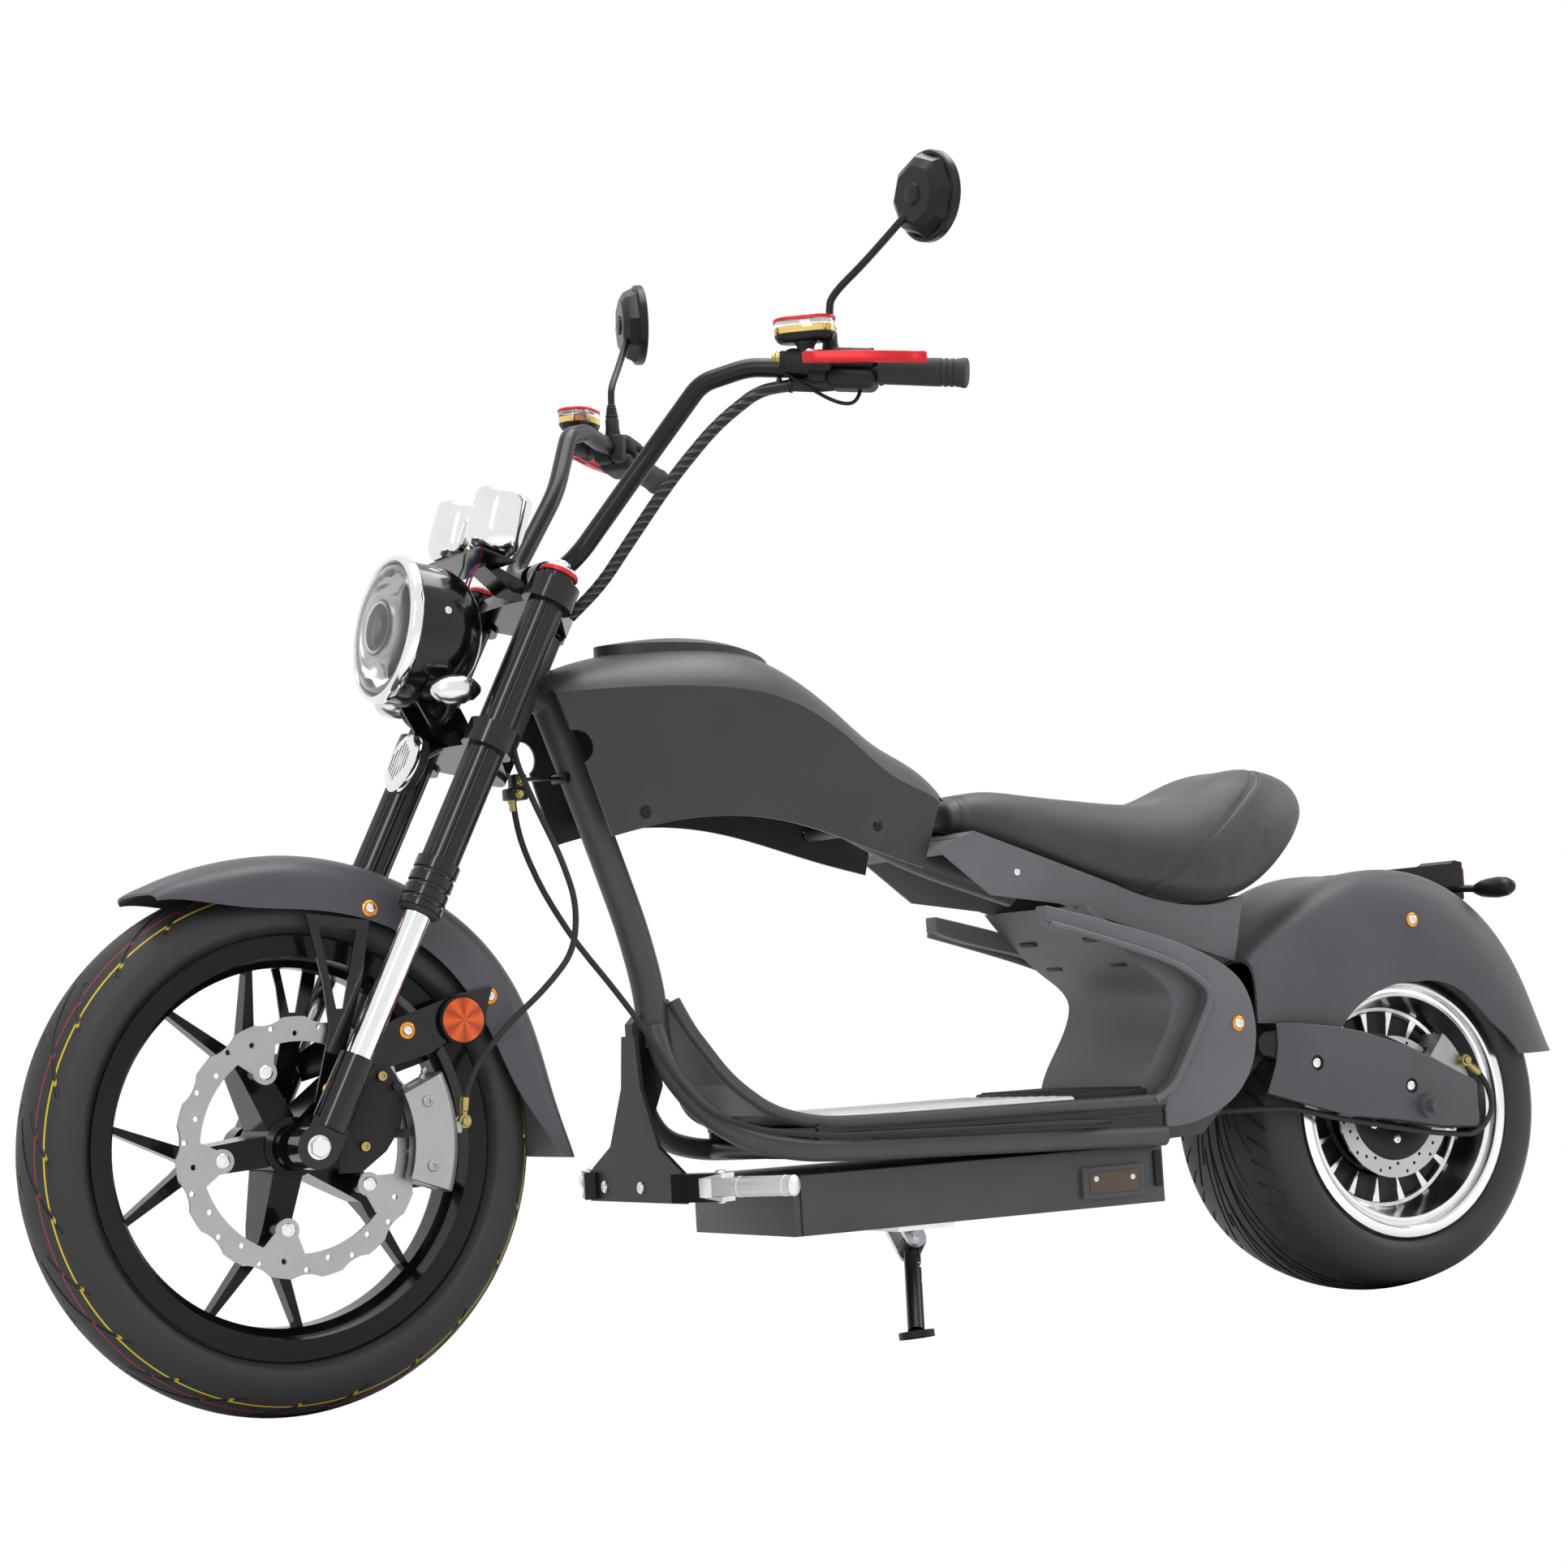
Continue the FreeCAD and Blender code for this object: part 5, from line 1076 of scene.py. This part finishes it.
# Oval fluid pots: black foot, clear wall, amber fluid and red lid
POT = level_at(on_bar(174, 36, 24.5))
for name, finish, slot, profile in (
        ("pot_feet", satin_black, "satin_black",
         [(0, 0), (15.6, 0), (18, 2), (20.8, 7), (20.8, 8.4), (0, 8.4)]),
        ("pot_walls", clear_lens, "clear",
         [(0, 8.4), (20.6, 8.4), (21, 9.6), (21, 21.6), (20.6, 22.8), (0, 22.8)]),
        ("pot_fluid", make_glass("amber_fluid", (0.85, 0.60, 0.16), 0.05), "clear",
         [(0, 9), (19.4, 9), (19.6, 9.6), (19.6, 16.4), (0, 16.4)]),
        ("pot_lids", red_anodised, "red_metal",
         [(0, 22.8), (21.4, 22.8), (21.8, 23.4), (21.8, 25.6), (21.2, 26.6), (20, 26.9), (0, 26.9)])):
    wear(both_sides(put(oval(profile, 14), POT)), name, "steering", finish, ["reservoirs"], angle=40)
pot_screws = spread_out(bolt_head(3.2, 1.6), [(POT @ at(x, 0, 26.2), AXIS_Z) for x in (-22, 22)])
wear(both_sides(pot_screws), "pot_screws", "steering", bright_zinc)

# Levers: flat red blades with a window by the root
blade_line = [(175, 48.4), (176, 56), (170, 60), (158, 61), (132, 59.5), (106, 58.6), (82, 56.6), (60, 53),
              (46, 50), (40, 50.6), (35, 48), (35, 43), (40, 40.4), (50, 41.6), (62, 44), (84, 47.6),
              (108, 49), (134, 49), (158, 48.4)]


def blade_rise(back):
    return 4 + (172 - back) * 5 / 132


blade = plate([on_bar(d, f, blade_rise(d) - 6.4) for d, f in blade_line], at(0, 0, 12.8))
window = [(150, 52), (118, 52.6), (114, 54), (118, 55.6), (150, 56.6), (154, 54.2)]
opening = plate([on_bar(d, f, blade_rise(d) - 12) for d, f in window], at(0, 0, 24))
cut(blade, opening)
ease(blade, 1.8)
wear(both_sides(blade), "lever_blades", "steering", red_anodised, ["levers"], angle=50)
pivots = spread_out(bolt_head(5, 3), [(on_bar(167, 53.5, blade_rise(167) + 6.2), AXIS_Z)])
wear(both_sides(pivots), "lever_pivots", "steering", bright_zinc)

# Mirrors: round rim, faceted back, glass, bent stem and ribbed boot
MIRROR_AT = at(-54, -355, 1315)
STEM_FOOT = on_bar(152, 0, 44.3)


def mirror_forms(inward):
    """Shell, glass and boot of the left mirror with its back turned inward by an angle."""
    angle = math.radians(inward)
    way = Vector((-math.cos(angle), math.sin(angle), 0))
    face = facing(way, MIRROR_AT)
    rim = put(lathe([(48.6, 1.4), (48.6, 0), (50.6, -0.4), (52, 1), (52, 8.6), (50.4, 10.4), (47, 11),
                     (47, 1.4)], 80,
                    closed=True), face)
    back = put(lathe([(0, 8), (49.4, 8), (49.4, 10.6), (43.6, 22.6), (33, 29.4), (0, 29.8)], 8), face)
    stem = tube([STEM_FOOT + at(0, 0, 2), STEM_FOOT + at(1, -1, 22), STEM_FOOT + at(3, -3, 40),
                 STEM_FOOT * 0.55 + (MIRROR_AT + way * 0.014) * 0.45 + at(0, 0, 15), MIRROR_AT + way * 0.014],
                0.0044, sides=5)
    knuckle = put(lathe([(0, 24), (15, 25), (12, 32), (0, 34)], 24), face)
    glass = put(lathe([(0, 3), (48.4, 3), (48.4, 1.4), (30, 0.4), (0, 0)], 64), face)
    boot = put(lathe([(4, 0), (8, 0), (8, 3), (6.4, 4), (7.6, 5.6), (6, 7), (7.2, 8.6), (5.6, 10),
                      (6.8, 11.6), (5.2, 13), (6, 15), (4.2, 16)], 28, closed=True),
               level_at(STEM_FOOT))
    return join([rim, back, stem, knuckle]), glass, boot


left_shell, left_glass, left_boot = mirror_forms(-6)
right_shell, right_glass, right_boot = mirror_forms(-18)
for kind, ours, theirs, finish in (
        ("shells", left_shell, right_shell, satin_black), ("glass", left_glass, right_glass, mirror_glass),
        ("boots", left_boot, right_boot, soft_rubber)):
    far = other_side(theirs)
    bpy.data.objects.remove(theirs)
    wear(join([ours, far]), "mirror_" + kind, "steering", finish, ["mirrors"], angle=30)

# Thin coloured wires from the gauges to the lamp, and the loop under the left switch
for name, colour, spots in (
        ("wire_red", (0.45, 0.02, 0.02),
         [(-488, -30, 938), (-502, -26, 918), (-500, -20, 896), (-506, -14, 872)]),
        ("wire_green", (0.03, 0.25, 0.06),
         [(-484, 24, 940), (-500, 22, 916), (-498, 16, 892), (-504, 8, 870)]),
        ("wire_blue", (0.03, 0.08, 0.40),
         [(-488, -22, 938), (-506, -18, 916), (-496, -12, 890), (-504, -4, 868)])):
    wire = tube([at(*p) for p in spots], 0.0013, sides=3)
    wear(wire, name, "steering", coated(name, colour, 0.4, grain=0.03))
loop = tube([on_bar(*spot) for spot in ((205, 10, -8), (180, 12, -22), (152, 14, -38), (132, 12, -42),
                                        (122, 8, -34), (120, 4, -24))], 0.0022, sides=3)
wear(loop, "switch_lead", "steering", satin_black)

# Seat: foam pad puffed from the seat's solid, with its seams pressed in and sewn afterwards
REAR_SEAM = (at(460, 0, 597), Vector((0.593, 0, -0.805)))
NOSE_SEAM = (at(134, 0, 630), Vector((0.99, 0, -0.14)))
PAD_VOXEL = 0.006
PUFF_STEPS = 20
PUFF_LIMIT = 0.006
SEAM_DEPTH = 0.0022
SEAM_WIDTH = 0.0032


def seat_pad():
    pad = upright_copy("seat_pad", "seat")
    finish_with(pad, "DISPLACE", strength=-0.004, mid_level=0.0)
    finish_with(pad, "REMESH", mode="VOXEL", voxel_size=PAD_VOXEL)
    under = pad.vertex_groups.new(name="under")
    under.add([v.index for v in pad.data.vertices if v.normal.z < -0.6], 1.0, "REPLACE")
    cloth = pad.modifiers.new("foam", "CLOTH")
    cloth.settings.use_pressure = True
    cloth.settings.uniform_pressure_force = 4.0
    cloth.settings.effector_weights.gravity = 0.0
    cloth.settings.vertex_group_mass = "under"
    start = [v.co.copy() for v in pad.data.vertices]
    for step in range(1, PUFF_STEPS + 1):
        bpy.context.scene.frame_set(step)
    puffed = pad.evaluated_get(bpy.context.evaluated_depsgraph_get()).to_mesh()
    places = []
    for before, corner in zip(start, puffed.vertices):
        shift = corner.co - before
        places.append(before + shift * min(1.0, PUFF_LIMIT / max(shift.length, 1e-9)))
    pad.modifiers.remove(cloth)
    bpy.context.scene.frame_set(1)
    for corner, place in zip(pad.data.vertices, places):
        corner.co = place
    finish_with(pad, "SMOOTH", factor=0.5, iterations=4)
    finish_with(pad, "SUBSURF", levels=1, render_levels=1)
    for place, way in (REAR_SEAM, NOSE_SEAM):
        shifts = []
        for corner in pad.data.vertices:
            off = (corner.co - place).dot(way)
            shifts.append(corner.normal * SEAM_DEPTH * math.exp(-(off / SEAM_WIDTH) ** 2))
        for corner, shift in zip(pad.data.vertices, shifts):
            corner.co -= shift
    return pad


def stitch_line(pad, place, way, radius):
    """A thread that lies where a plane cuts the pad."""
    line = copy_of(pad)
    edit(line)
    bpy.ops.mesh.bisect(plane_co=place, plane_no=way, clear_inner=True, clear_outer=True)
    done(line)
    bpy.ops.object.convert(target="CURVE")
    thread = bpy.context.object
    thread.data.bevel_depth = radius
    thread.data.bevel_resolution = 1
    bpy.ops.object.convert(target="MESH")
    return tidy_shell(bpy.context.object)


pad = seat_pad()
threads = []
for (place, way), offsets in ((REAR_SEAM, (-0.0042, 0.0042)), (NOSE_SEAM, (-0.004,))):
    for offset in offsets:
        threads.append(stitch_line(pad, place + way * offset, way, 0.0005))
thread_grey = coated("thread_grey", (0.035, 0.035, 0.037), 0.6, grain=0.3)
wear(join(threads), "seat_stitching", "frame", thread_grey, angle=60)
wear(pad, "seat_pad", "frame", seat_leather, ["seat"], angle=80)

# Deck panel with a ribbed rubber mat
deck_paint = coated("deck_silver", (0.78, 0.78, 0.80), 0.40, grain=0.1, metallic=0.1)
panel = plate([at(-120, -114, 272), at(229, -114, 272), at(229, 114, 272), at(-120, 114, 272)],
              at(0, 0, 13.4))
finish_with(panel, "BEVEL", width=0.005, segments=3)
beads = [block((320, 5, 1.6), (50, y, 285.8), 0.7) for y in range(-96, 97, 24)]
wear(join([panel] + beads), "deck_panel", "frame", deck_paint)
mat = [block((106, 226, 17), (284, 0, 280.4), 3.0)]
mat += [block((98, 6, 2.6), (284, y, 289.4), 0.9) for y in range(-102, 103, 12)]
wear(join(mat), "deck_mat", "frame", soft_rubber)

# Tank: sunk bolts, with dull black rims that paint the shade of their holes
tank_bolts = [(at(x, side * y, z), Vector((0, side, -0.14)))
              for x, y, z in ((-322, 86.2, 645), (-12, 84.8, 622)) for side in SIDES]
fasten("tank", "frame", tank_bolts, radius=5.2, height=1.6, finish=satin_black)
# Dull black ring round each bolt: painted shade of the sunk hole.
tank_hole_shade = spread_out(lathe([(5.4, -0.6), (7.4, -0.6), (7.8, 0.2), (7.4, 0.7), (5.8, 0.5)], 28,
                              closed=True),
                        tank_bolts)
wear(tank_hole_shade, "tank_bolt_hole_shade", "frame", dull_black)

# Side loops, swingarm, fender and cowl bolts
ARM_BOLTS = ((581, 304), (731, 266))


def fasten_pair(name, node_name, x, z, **sizes):
    """The same bolt on both sides of a solid that stays on the frame body."""
    fasten(name, "frame", [surface(node_name, x, z, side) for side in SIDES], **sizes)


fasten_pair("loop", "side_loops", 464, 360, radius=6, height=3.2, cup=9.5)
arm_bolts = [surface("swingarm", x, z, side) for side in SIDES for x, z in ARM_BOLTS]
fasten("swingarm", "frame", arm_bolts, radius=6.2, height=2.4)
arm_rims = spread_out(lathe([(6.4, -0.4), (9.6, -0.4), (9.8, 0.6), (8.6, 1.0), (6.8, 0.2)], 28, closed=True),
                      arm_bolts)
wear(arm_rims, "swingarm_bolt_rims", "frame", satin_black)
fasten_pair("rear_fender", "rear_fender", 762, 478, radius=6, height=3, cup=9.5)
fasten_pair("cowl", "seat_cowl", 178, 560, radius=4.6, height=2.6)

# Scoop slots: dull black blocks with a raised lip, painted shade where the recesses are
slot_shade_blocks = []
for x, z in ((300, 474), (338, 442)):
    for y in (-70, 70):
        slot_shade_blocks.append(put(block((3.4, 34, 7), (0, 0, 0), 1.4), moved(x - 1.5, y, z) @ spun(-42, "Y")))
wear(join(slot_shade_blocks), "scoop_slot_shade", "frame", dull_black)

# Blank plate in its holder on the battery box, box seam, rear tab
holder_rim = round_plate([(223, 160), (314, 160), (314, 198), (223, 198)], -125.5, 1.6, 0.6)
window = block((74, 12, 27), (269, -125, 179), 2)
cut(holder_rim, window)
wear(holder_rim, "plate_frame", "frame", frame_grey)
blank = block((73, 1.6, 26), (269, -125.2, 179), 0.6)
bronze = coated("bronze_plate", (0.085, 0.066, 0.045), 0.40, grain_scale=500.0, grain=0.2, metallic=0.5)
wear(blank, "blank_plate", "frame", bronze)
fasten("plate", "frame", [(at(242, -126, 184), LEFT), (at(296, -126, 183), LEFT)], radius=3.4, height=1.8,
       finish=dial_white)
seams = [block((2.2, 1.4, 70), (-168, -119.2, 184), 0.5), block((2.2, 1.4, 70), (-168, 119.2, 184), 0.5),
         block((1.4, 238, 2.2), (-178.3, 0, 214), 0.5)]
wear(join(seams), "box_seams", "frame", satin_black)
tab = join([block((5, 26, 46), (344, -98, 190), 2), block((11, 3, 44), (338, -121, 190), 1.2)])
wear(tab, "box_tab", "frame", satin_black)

# Foot peg ribs, plate bolts and stand bolts
PEG_WAY = Vector((math.sin(math.radians(24)), -math.cos(math.radians(24)), 0))
PIN = at(-319, -104, 216) + PEG_WAY * 0.062
peg_rings = []
for k in range(2):
    ring = lathe([(11.2, 0), (12.0, 0.8), (12.0, 3.0), (11.2, 3.8)], 28, closed=True)
    peg_rings.append(put(ring, facing(PEG_WAY, PIN + PEG_WAY * (0.026 + 0.062 * k))))
peg_rings.append(put(lathe([(0, 0), (11.6, 0), (11.8, 1.6), (9.6, 3.2), (0, 3.8)], 28),
                     facing(PEG_WAY, PIN + PEG_WAY * 0.1)))
peg_grip = join(peg_rings)
far_grip = other_side(peg_grip)
wear(peg_grip, "peg_ribs_left", "left_peg", peg_alloy)
wear(far_grip, "peg_ribs_right", "right_peg", peg_alloy)
pin_heads = [(Vector((PIN.x, PIN.y * -side, PIN.z + 0.0162)), AXIS_Z) for side in SIDES]
fasten("peg_pin", "frame", pin_heads, radius=6.4, height=3)
fasten("peg_plate", "frame", [(at(-318, y, 215), -AXIS_X) for y in (78, -14)], radius=7.2, height=3.6)
leg_top = at(4, -78, 123)
leg_foot = at(-46, -158, 7)
leg_way = (leg_foot - leg_top).normalized()
leg_side = (LEFT - leg_way * LEFT.dot(leg_way)).normalized()
leg_bolts = [(leg_top + leg_way * d + leg_side * 0.0096, leg_side) for d in (0.034, 0.056)]
fasten("stand", "side_stand", leg_bolts, radius=4.6, height=3)

# Rear lamp lens and leaf signals
lens = [block((7.5, 59, 33), (939.9, 0, 530.8), 3, 3)]
lens += [block((1.6, 55, 1.2), (943.3, 0, 519 + 4 * k), 0.5, 1) for k in range(7)]
lamp_red = coated("lamp_red", (0.30, 0.006, 0.008), 0.18, grain_scale=400.0, grain=0.1, coat=0.6)
wear(join(lens), "rear_lamp_lens", "frame", lamp_red, ["rear_lamps"])
leaves = []
strips = []
for side in SIDES:
    leaf = lathe([(0, 0), (7, 1), (11.4, 14), (13.2, 30), (14, 44), (12.4, 60), (8, 70), (0, 75)], 32)
    leaf_place = facing((0, side, 0), at(929.7, side * 65, 515.8))
    leaf.matrix_world = leaf_place @ Matrix.Diagonal((0.92, 1.0, 1.0, 1.0))
    leaves.append(fix_place(leaf))
    leaves.append(tube([at(916, side * 34, 517.8), at(917, side * 48, 517.8), at(924, side * 62, 517),
                        at(929.7, side * 74, 515.8)], 0.0048, sides=4))
    strips.append(block((3.4, 46, 5), (941.4, side * 104, 515.8), 1.4))
wear(join(leaves), "rear_signal_leaves", "frame", satin_black, ["rear_lamps"], angle=50)
amber_strip = coated("amber_strip", (0.62, 0.20, 0.01), 0.2, grain_scale=300.0, grain=0.1, coat=0.5)
wear(join(strips), "rear_signal_strips", "frame", amber_strip)

# Calipers: bridge bolts, brass banjos at the hoses' ends
caliper_bolts = [(at(-662, -77.6, 364), LEFT), (at(-686, -77.6, 289), LEFT)]
fasten("caliper", "steering", caliper_bolts, radius=6, height=4, finish=brass)


def hose_end(name, body, eye, hose_from, facing_way):
    """Banjo ring and bolt at a hose's end, with the crimped ferrule that leads to it."""
    ring = put(lathe([(4, -5), (7.6, -5), (8.2, -3.6), (8.2, 3.6), (7.6, 5), (4, 5)], 28, closed=True),
               facing(facing_way, eye))
    cap = put(hex_head(6, 4), facing(facing_way, eye + Vector(facing_way).normalized() * 0.005))
    way = (hose_from - eye).normalized()
    ferrule = put(lathe([(0, 6), (4.2, 6), (4.2, 12), (5, 13), (5, 26), (4.4, 28), (3.7, 28), (0, 28)], 24),
                  facing(way, eye))
    return wear(join([ring, cap, ferrule]), name, body, brass)


hose_end("front_banjo", "steering", at(-561, -64, 308), at(-560, -71, 338), (0, -1, 0))
hose_end("rear_banjo", "frame", at(858, -97.8, 292), at(886, -104, 268), (0, -1, 0))

# Cast and moulded parts: the solids again with their edges eased
def softened(name, width, body, finish, segments=2):
    piece = upright_copy(name + "_eased", name)
    edit(piece)
    bpy.ops.mesh.dissolve_limited(angle_limit=math.radians(0.6))
    done(piece)
    finish_with(piece, "BEVEL", width=width / 1000, segments=segments, angle_limit=math.radians(40),
                use_clamp_overlap=False)
    return wear(piece, name + "_eased", body, finish, [name], angle=40)


softened("side_loops", 2.4, "frame", moulded_grey, 3)
softened("battery_box", 1.2, "frame", frame_grey)


def swept(points, centre, axis, start, sweep, steps):
    """A closed outline turned part of the way round an axis."""
    piece = drawn(points)
    bpy.ops.mesh.spin(steps=steps, angle=sweep, center=centre, axis=axis)
    done(piece)
    tidy_shell(piece)
    return put(piece, about(centre, start + sweep))


# Front caliper: rough bracket plate, slide pin, two-part body over the disc, bleed nipple
def caliper_part(outline, start, sweep):
    """An outline of (y, radius) swept round the front axle, angles counted from the top to the rear."""
    points = [FRONT_AXLE + at(0, y, r) for y, r in outline]
    piece = swept(points, FRONT_AXLE, AXIS_Y, math.radians(start), math.radians(sweep), 14)
    return ease(piece, 1.6)


bracket = round_plate([(-716, 262), (-718, 330), (-690, 364), (-674, 376), (-652, 376), (-644, 364),
                       (-634, 342), (-642, 306), (-660, 282), (-690, 261)], -71.2, -5.0, 1.0)
pins = [rod(at(-646, -84, 352), at(-646, -44, 352), 5), rod(at(-638, -84, 300), at(-638, -44, 300), 5)]
wear(join([bracket] + pins), "caliper_bracket", "steering", dull_black, ["front_caliper"])
caliper_body = [caliper_part([(-87, 124), (-67, 124), (-67, 164), (-54, 166), (-54, 124), (-40, 124),
                              (-40, 172), (-46, 178), (-80, 178), (-87, 170)], 66, 44),
                caliper_part([(-87.6, 134), (-80, 130), (-80, 160), (-87.6, 156)], 72, 10),
                caliper_part([(-87.6, 134), (-80, 130), (-80, 160), (-87.6, 156)], 93, 10)]
for degrees in (74, 102):
    bolt_at = round_hub(FRONT_AXLE, 146, -87.2, math.radians(degrees))
    caliper_body.append(put(bolt_head(6.4, 3.4), facing(LEFT, bolt_at)))
nipple = lathe([(0, 0), (4, 0), (4, 5), (2.6, 6), (3.4, 8), (3.4, 12), (2, 14), (0, 14)], 20)
caliper_body.append(put(nipple, facing((0.3, 0, 0.95), round_hub(FRONT_AXLE, 158, -66, math.radians(66)))))
caliper_body.append(block((24, 15, 14), (-577, -64, 302), 3, 3))
caliper_body.append(rod(at(-577, -73, 302), at(-577, -55, 302), 5.4, 6, 0.8))
wear(join(caliper_body), "caliper_body", "steering", cast_silver, ["front_caliper"], angle=40)

# Rear disc: drilled ring on a dark carrier
ring = rear_ring([(-76, 91.6), (-72.2, 91.6), (-72.2, 67), (-76, 67)])
DRILLS = 36
drills = []
for i in range(DRILLS):
    middle = round_hub(REAR_AXLE, (73.5, 79.5, 85.5)[i % 3], 0, 2 * math.pi * i / DRILLS)
    drills.append(rod(middle + at(0, -80, 0), middle + at(0, -68, 0), 2.3, 10))
cut(ring, join(drills))
wear(ring, "rear_disc_ring", "rear_wheel", rear_disc_steel, ["rear_disc"])
carrier = rear_ring([(-77, 68), (-77.6, 66), (-77.6, 52), (-76, 34), (-72.2, 34), (-72.2, 70), (-75.4, 70)],
                    72)
wear(carrier, "rear_disc_carrier", "rear_wheel", satin_black, ["rear_disc"])

# Moulded covers over the swingarm's ends, round their sunk bolts
cover_line = [(521, 357), (560, 355), (617, 348), (664, 338), (719, 320), (767, 301), (812, 279), (836, 268),
              (840, 262), (840, 214),
              (834, 208), (776, 212), (710, 224), (626, 235), (558, 254), (513, 267), (500, 271), (508, 288),
              (516, 306), (521, 330)]
for side in SIDES:
    cover = plate([at(x, side * 138.4, z) for x, z in cover_line], at(0, side * 3.4, 0))
    ease(cover, 2.2, 3)
    for x, z in ARM_BOLTS:
        cut(cover, rod(at(x, side * 134, z), at(x, side * 146, z), 9.8, 32))
    wear(cover, "arm_cover_left" if side < 0 else "arm_cover_right", "frame", body_grey)

# Raised lip round each side loop's opening, and the sill moulding between the floor's side tubes
lip_line = [(330, 274), (346, 280), (364, 292), (390, 333), (418, 379), (426, 397), (417, 413), (380, 438),
            (290, 468), (192, 495)]
lips = []
sills = []
for side in SIDES:
    lips.append(tube([at(x, side * 136.4, z) for x, z in lip_line], 0.0046, sides=4))
    sills.append(plate([at(x, side * 131.5, z) for x, z in (
        (-146, 276), (-70, 270), (346, 268), (346, 240), (-70, 244), (-146, 252))], at(0, -side * 7, 0)))
    sills.append(block((420, 3, 4), (136, side * 132.2, 257), 1.2))
wear(join(lips), "loop_lips", "frame", moulded_grey)
wear(join(sills), "floor_sills", "frame", gloss_black)

# Loom: boot into the switch housing and clips on the bar
boot_way = [on_bar(197, 0, -18.6), on_bar(186, 2, -19), on_bar(168, 6, -20), on_bar(150, 8, -18)]
sleeve = tube(boot_way, 0.0078, sides=5)
wear(sleeve, "loom_boot", "steering", soft_rubber)
clips = []
for back in (200, 214):
    clip = lathe([(8.2, -2), (9.6, -1.6), (9.6, 1.6), (8.2, 2)], 24, closed=True)
    clips.append(put(clip, facing(bar_way, on_bar(back, 0, -18.6))))
wear(join(clips), "loom_clips", "steering", satin_black)

# Silver clevises and stand mount on the black bracket solids
bracket_node = frame["nodes"]["brackets"]
bracket_node.data.materials.append(peg_alloy)
upright = STANCE.inverted() @ bracket_node.matrix_world
for face in bracket_node.data.polygons:
    spot = upright @ face.center
    by_peg = abs(spot.z - PIN.z) < 0.022 and 0.085 < abs(spot.y) and spot.x > -0.313
    by_stand = spot.z < 0.152 and abs(spot.x - leg_top.x) < 0.1
    if by_peg or by_stand:
        face.material_index = 1

# Brake junction behind the steering head: block on a strap, brass fittings, ferrule on the hose's end
junction = join([block((24, 22, 14), (-445, 0, 675), 2.4, 3), block((17, 18, 20), (-441.5, 0, 688), 2.4, 3),
                 block((54, 15, 4), (-410, 0, 692), 1.4), block((10, 34, 12), (-386, 0, 692), 3)])
wear(junction, "brake_junction", "frame", satin_black)
fittings = [put(hex_head(4.6, 4), facing(LEFT, at(-445, -10.8, 675))),
            put(hex_head(4.6, 4), facing(LEFT, at(-441.5, -8.8, 690)))]
fittings.append(put(lathe([(0, 0), (5.4, 0), (5.4, 4), (4.4, 5), (4.4, 14), (0, 14)], 24),
                    facing((0.1, 0, -1), at(-449.5, 0, 669.5))))
wear(join(fittings), "junction_fittings", "frame", brass)

# Studio: pale floor that turns into the white backdrop, soft lamps and a white surround
FLOOR_INNER = 1.3
FLOOR_OUTER = 3.0
bpy.ops.mesh.primitive_circle_add(vertices=96, radius=9.0, fill_type="NGON",
                                  location=(0, 0, cad_low.z - 0.0005))
floor = bpy.context.object
floor.name = "studio_floor"
floor_paint, tree, shader = shade("studio_floor")
set_up(tree, shader, Base_Color=(0.93, 0.93, 0.93), Roughness=0.9, Specular_IOR_Level=0.1)
reach = calc(tree, "LENGTH", object_place(tree), kind="VectorMath")
fade = node(tree, "MapRange", interpolation_type="SMOOTHSTEP", Value=reach, From_Min=FLOOR_INNER,
            From_Max=FLOOR_OUTER)
pick = tree.nodes.new("ShaderNodeMixShader")
show = tree.nodes.new("ShaderNodeMixShader")
for mixer, share, first, second in (
        (pick, fade["Result"], shader.outputs["BSDF"], node(tree, "Emission", Strength=1.0)["Emission"]),
        (show, node(tree, "NewGeometry")["Backfacing"], pick.outputs["Shader"],
         node(tree, "BsdfTransparent")["BSDF"])):
    for socket, value in zip(mixer.inputs, (share, first, second)):
        feed(tree, socket, value)
set_up(tree, tree.nodes["Material Output"], Surface=show.outputs["Shader"])
floor.data.materials.append(floor_paint)

world = bpy.data.worlds.new("studio")
bpy.context.scene.world = world
world.use_nodes = True
tree = world.node_tree
surround = tree.nodes["Background"]
seen = node(tree, "LightPath")
shown = calc(tree, "MAXIMUM", calc(tree, "MAXIMUM", seen["Is Camera Ray"], seen["Is Glossy Ray"]),
             seen["Is Transmission Ray"])
set_up(tree, surround, Color=(1, 1, 1), Strength=blend_values(tree, shown, 0.56, 1.0))


def lamp(name, place, aim, size, power):
    bpy.ops.object.light_add(type="AREA", location=place)
    made = bpy.context.object
    made.name = name
    made.data.shape = "RECTANGLE"
    made.data.size = size[0]
    made.data.size_y = size[1]
    made.data.energy = power
    made.rotation_mode = "QUATERNION"
    made.rotation_quaternion = (Vector(aim) - Vector(place)).to_track_quat("-Z", "Y")
    made.visible_camera = False
    return made


lamp("top_softbox", (0.1, -0.3, 3.2), (0, 0, 0.4), (3.0, 1.6), 85)
lamp("left_softbox", (-2.6, -2.6, 1.9), (0, 0, 0.6), (0.5, 2.0), 26)
lamp("rear_softbox", (2.9, -0.9, 1.8), (0.2, 0, 0.6), (0.7, 1.8), 22)
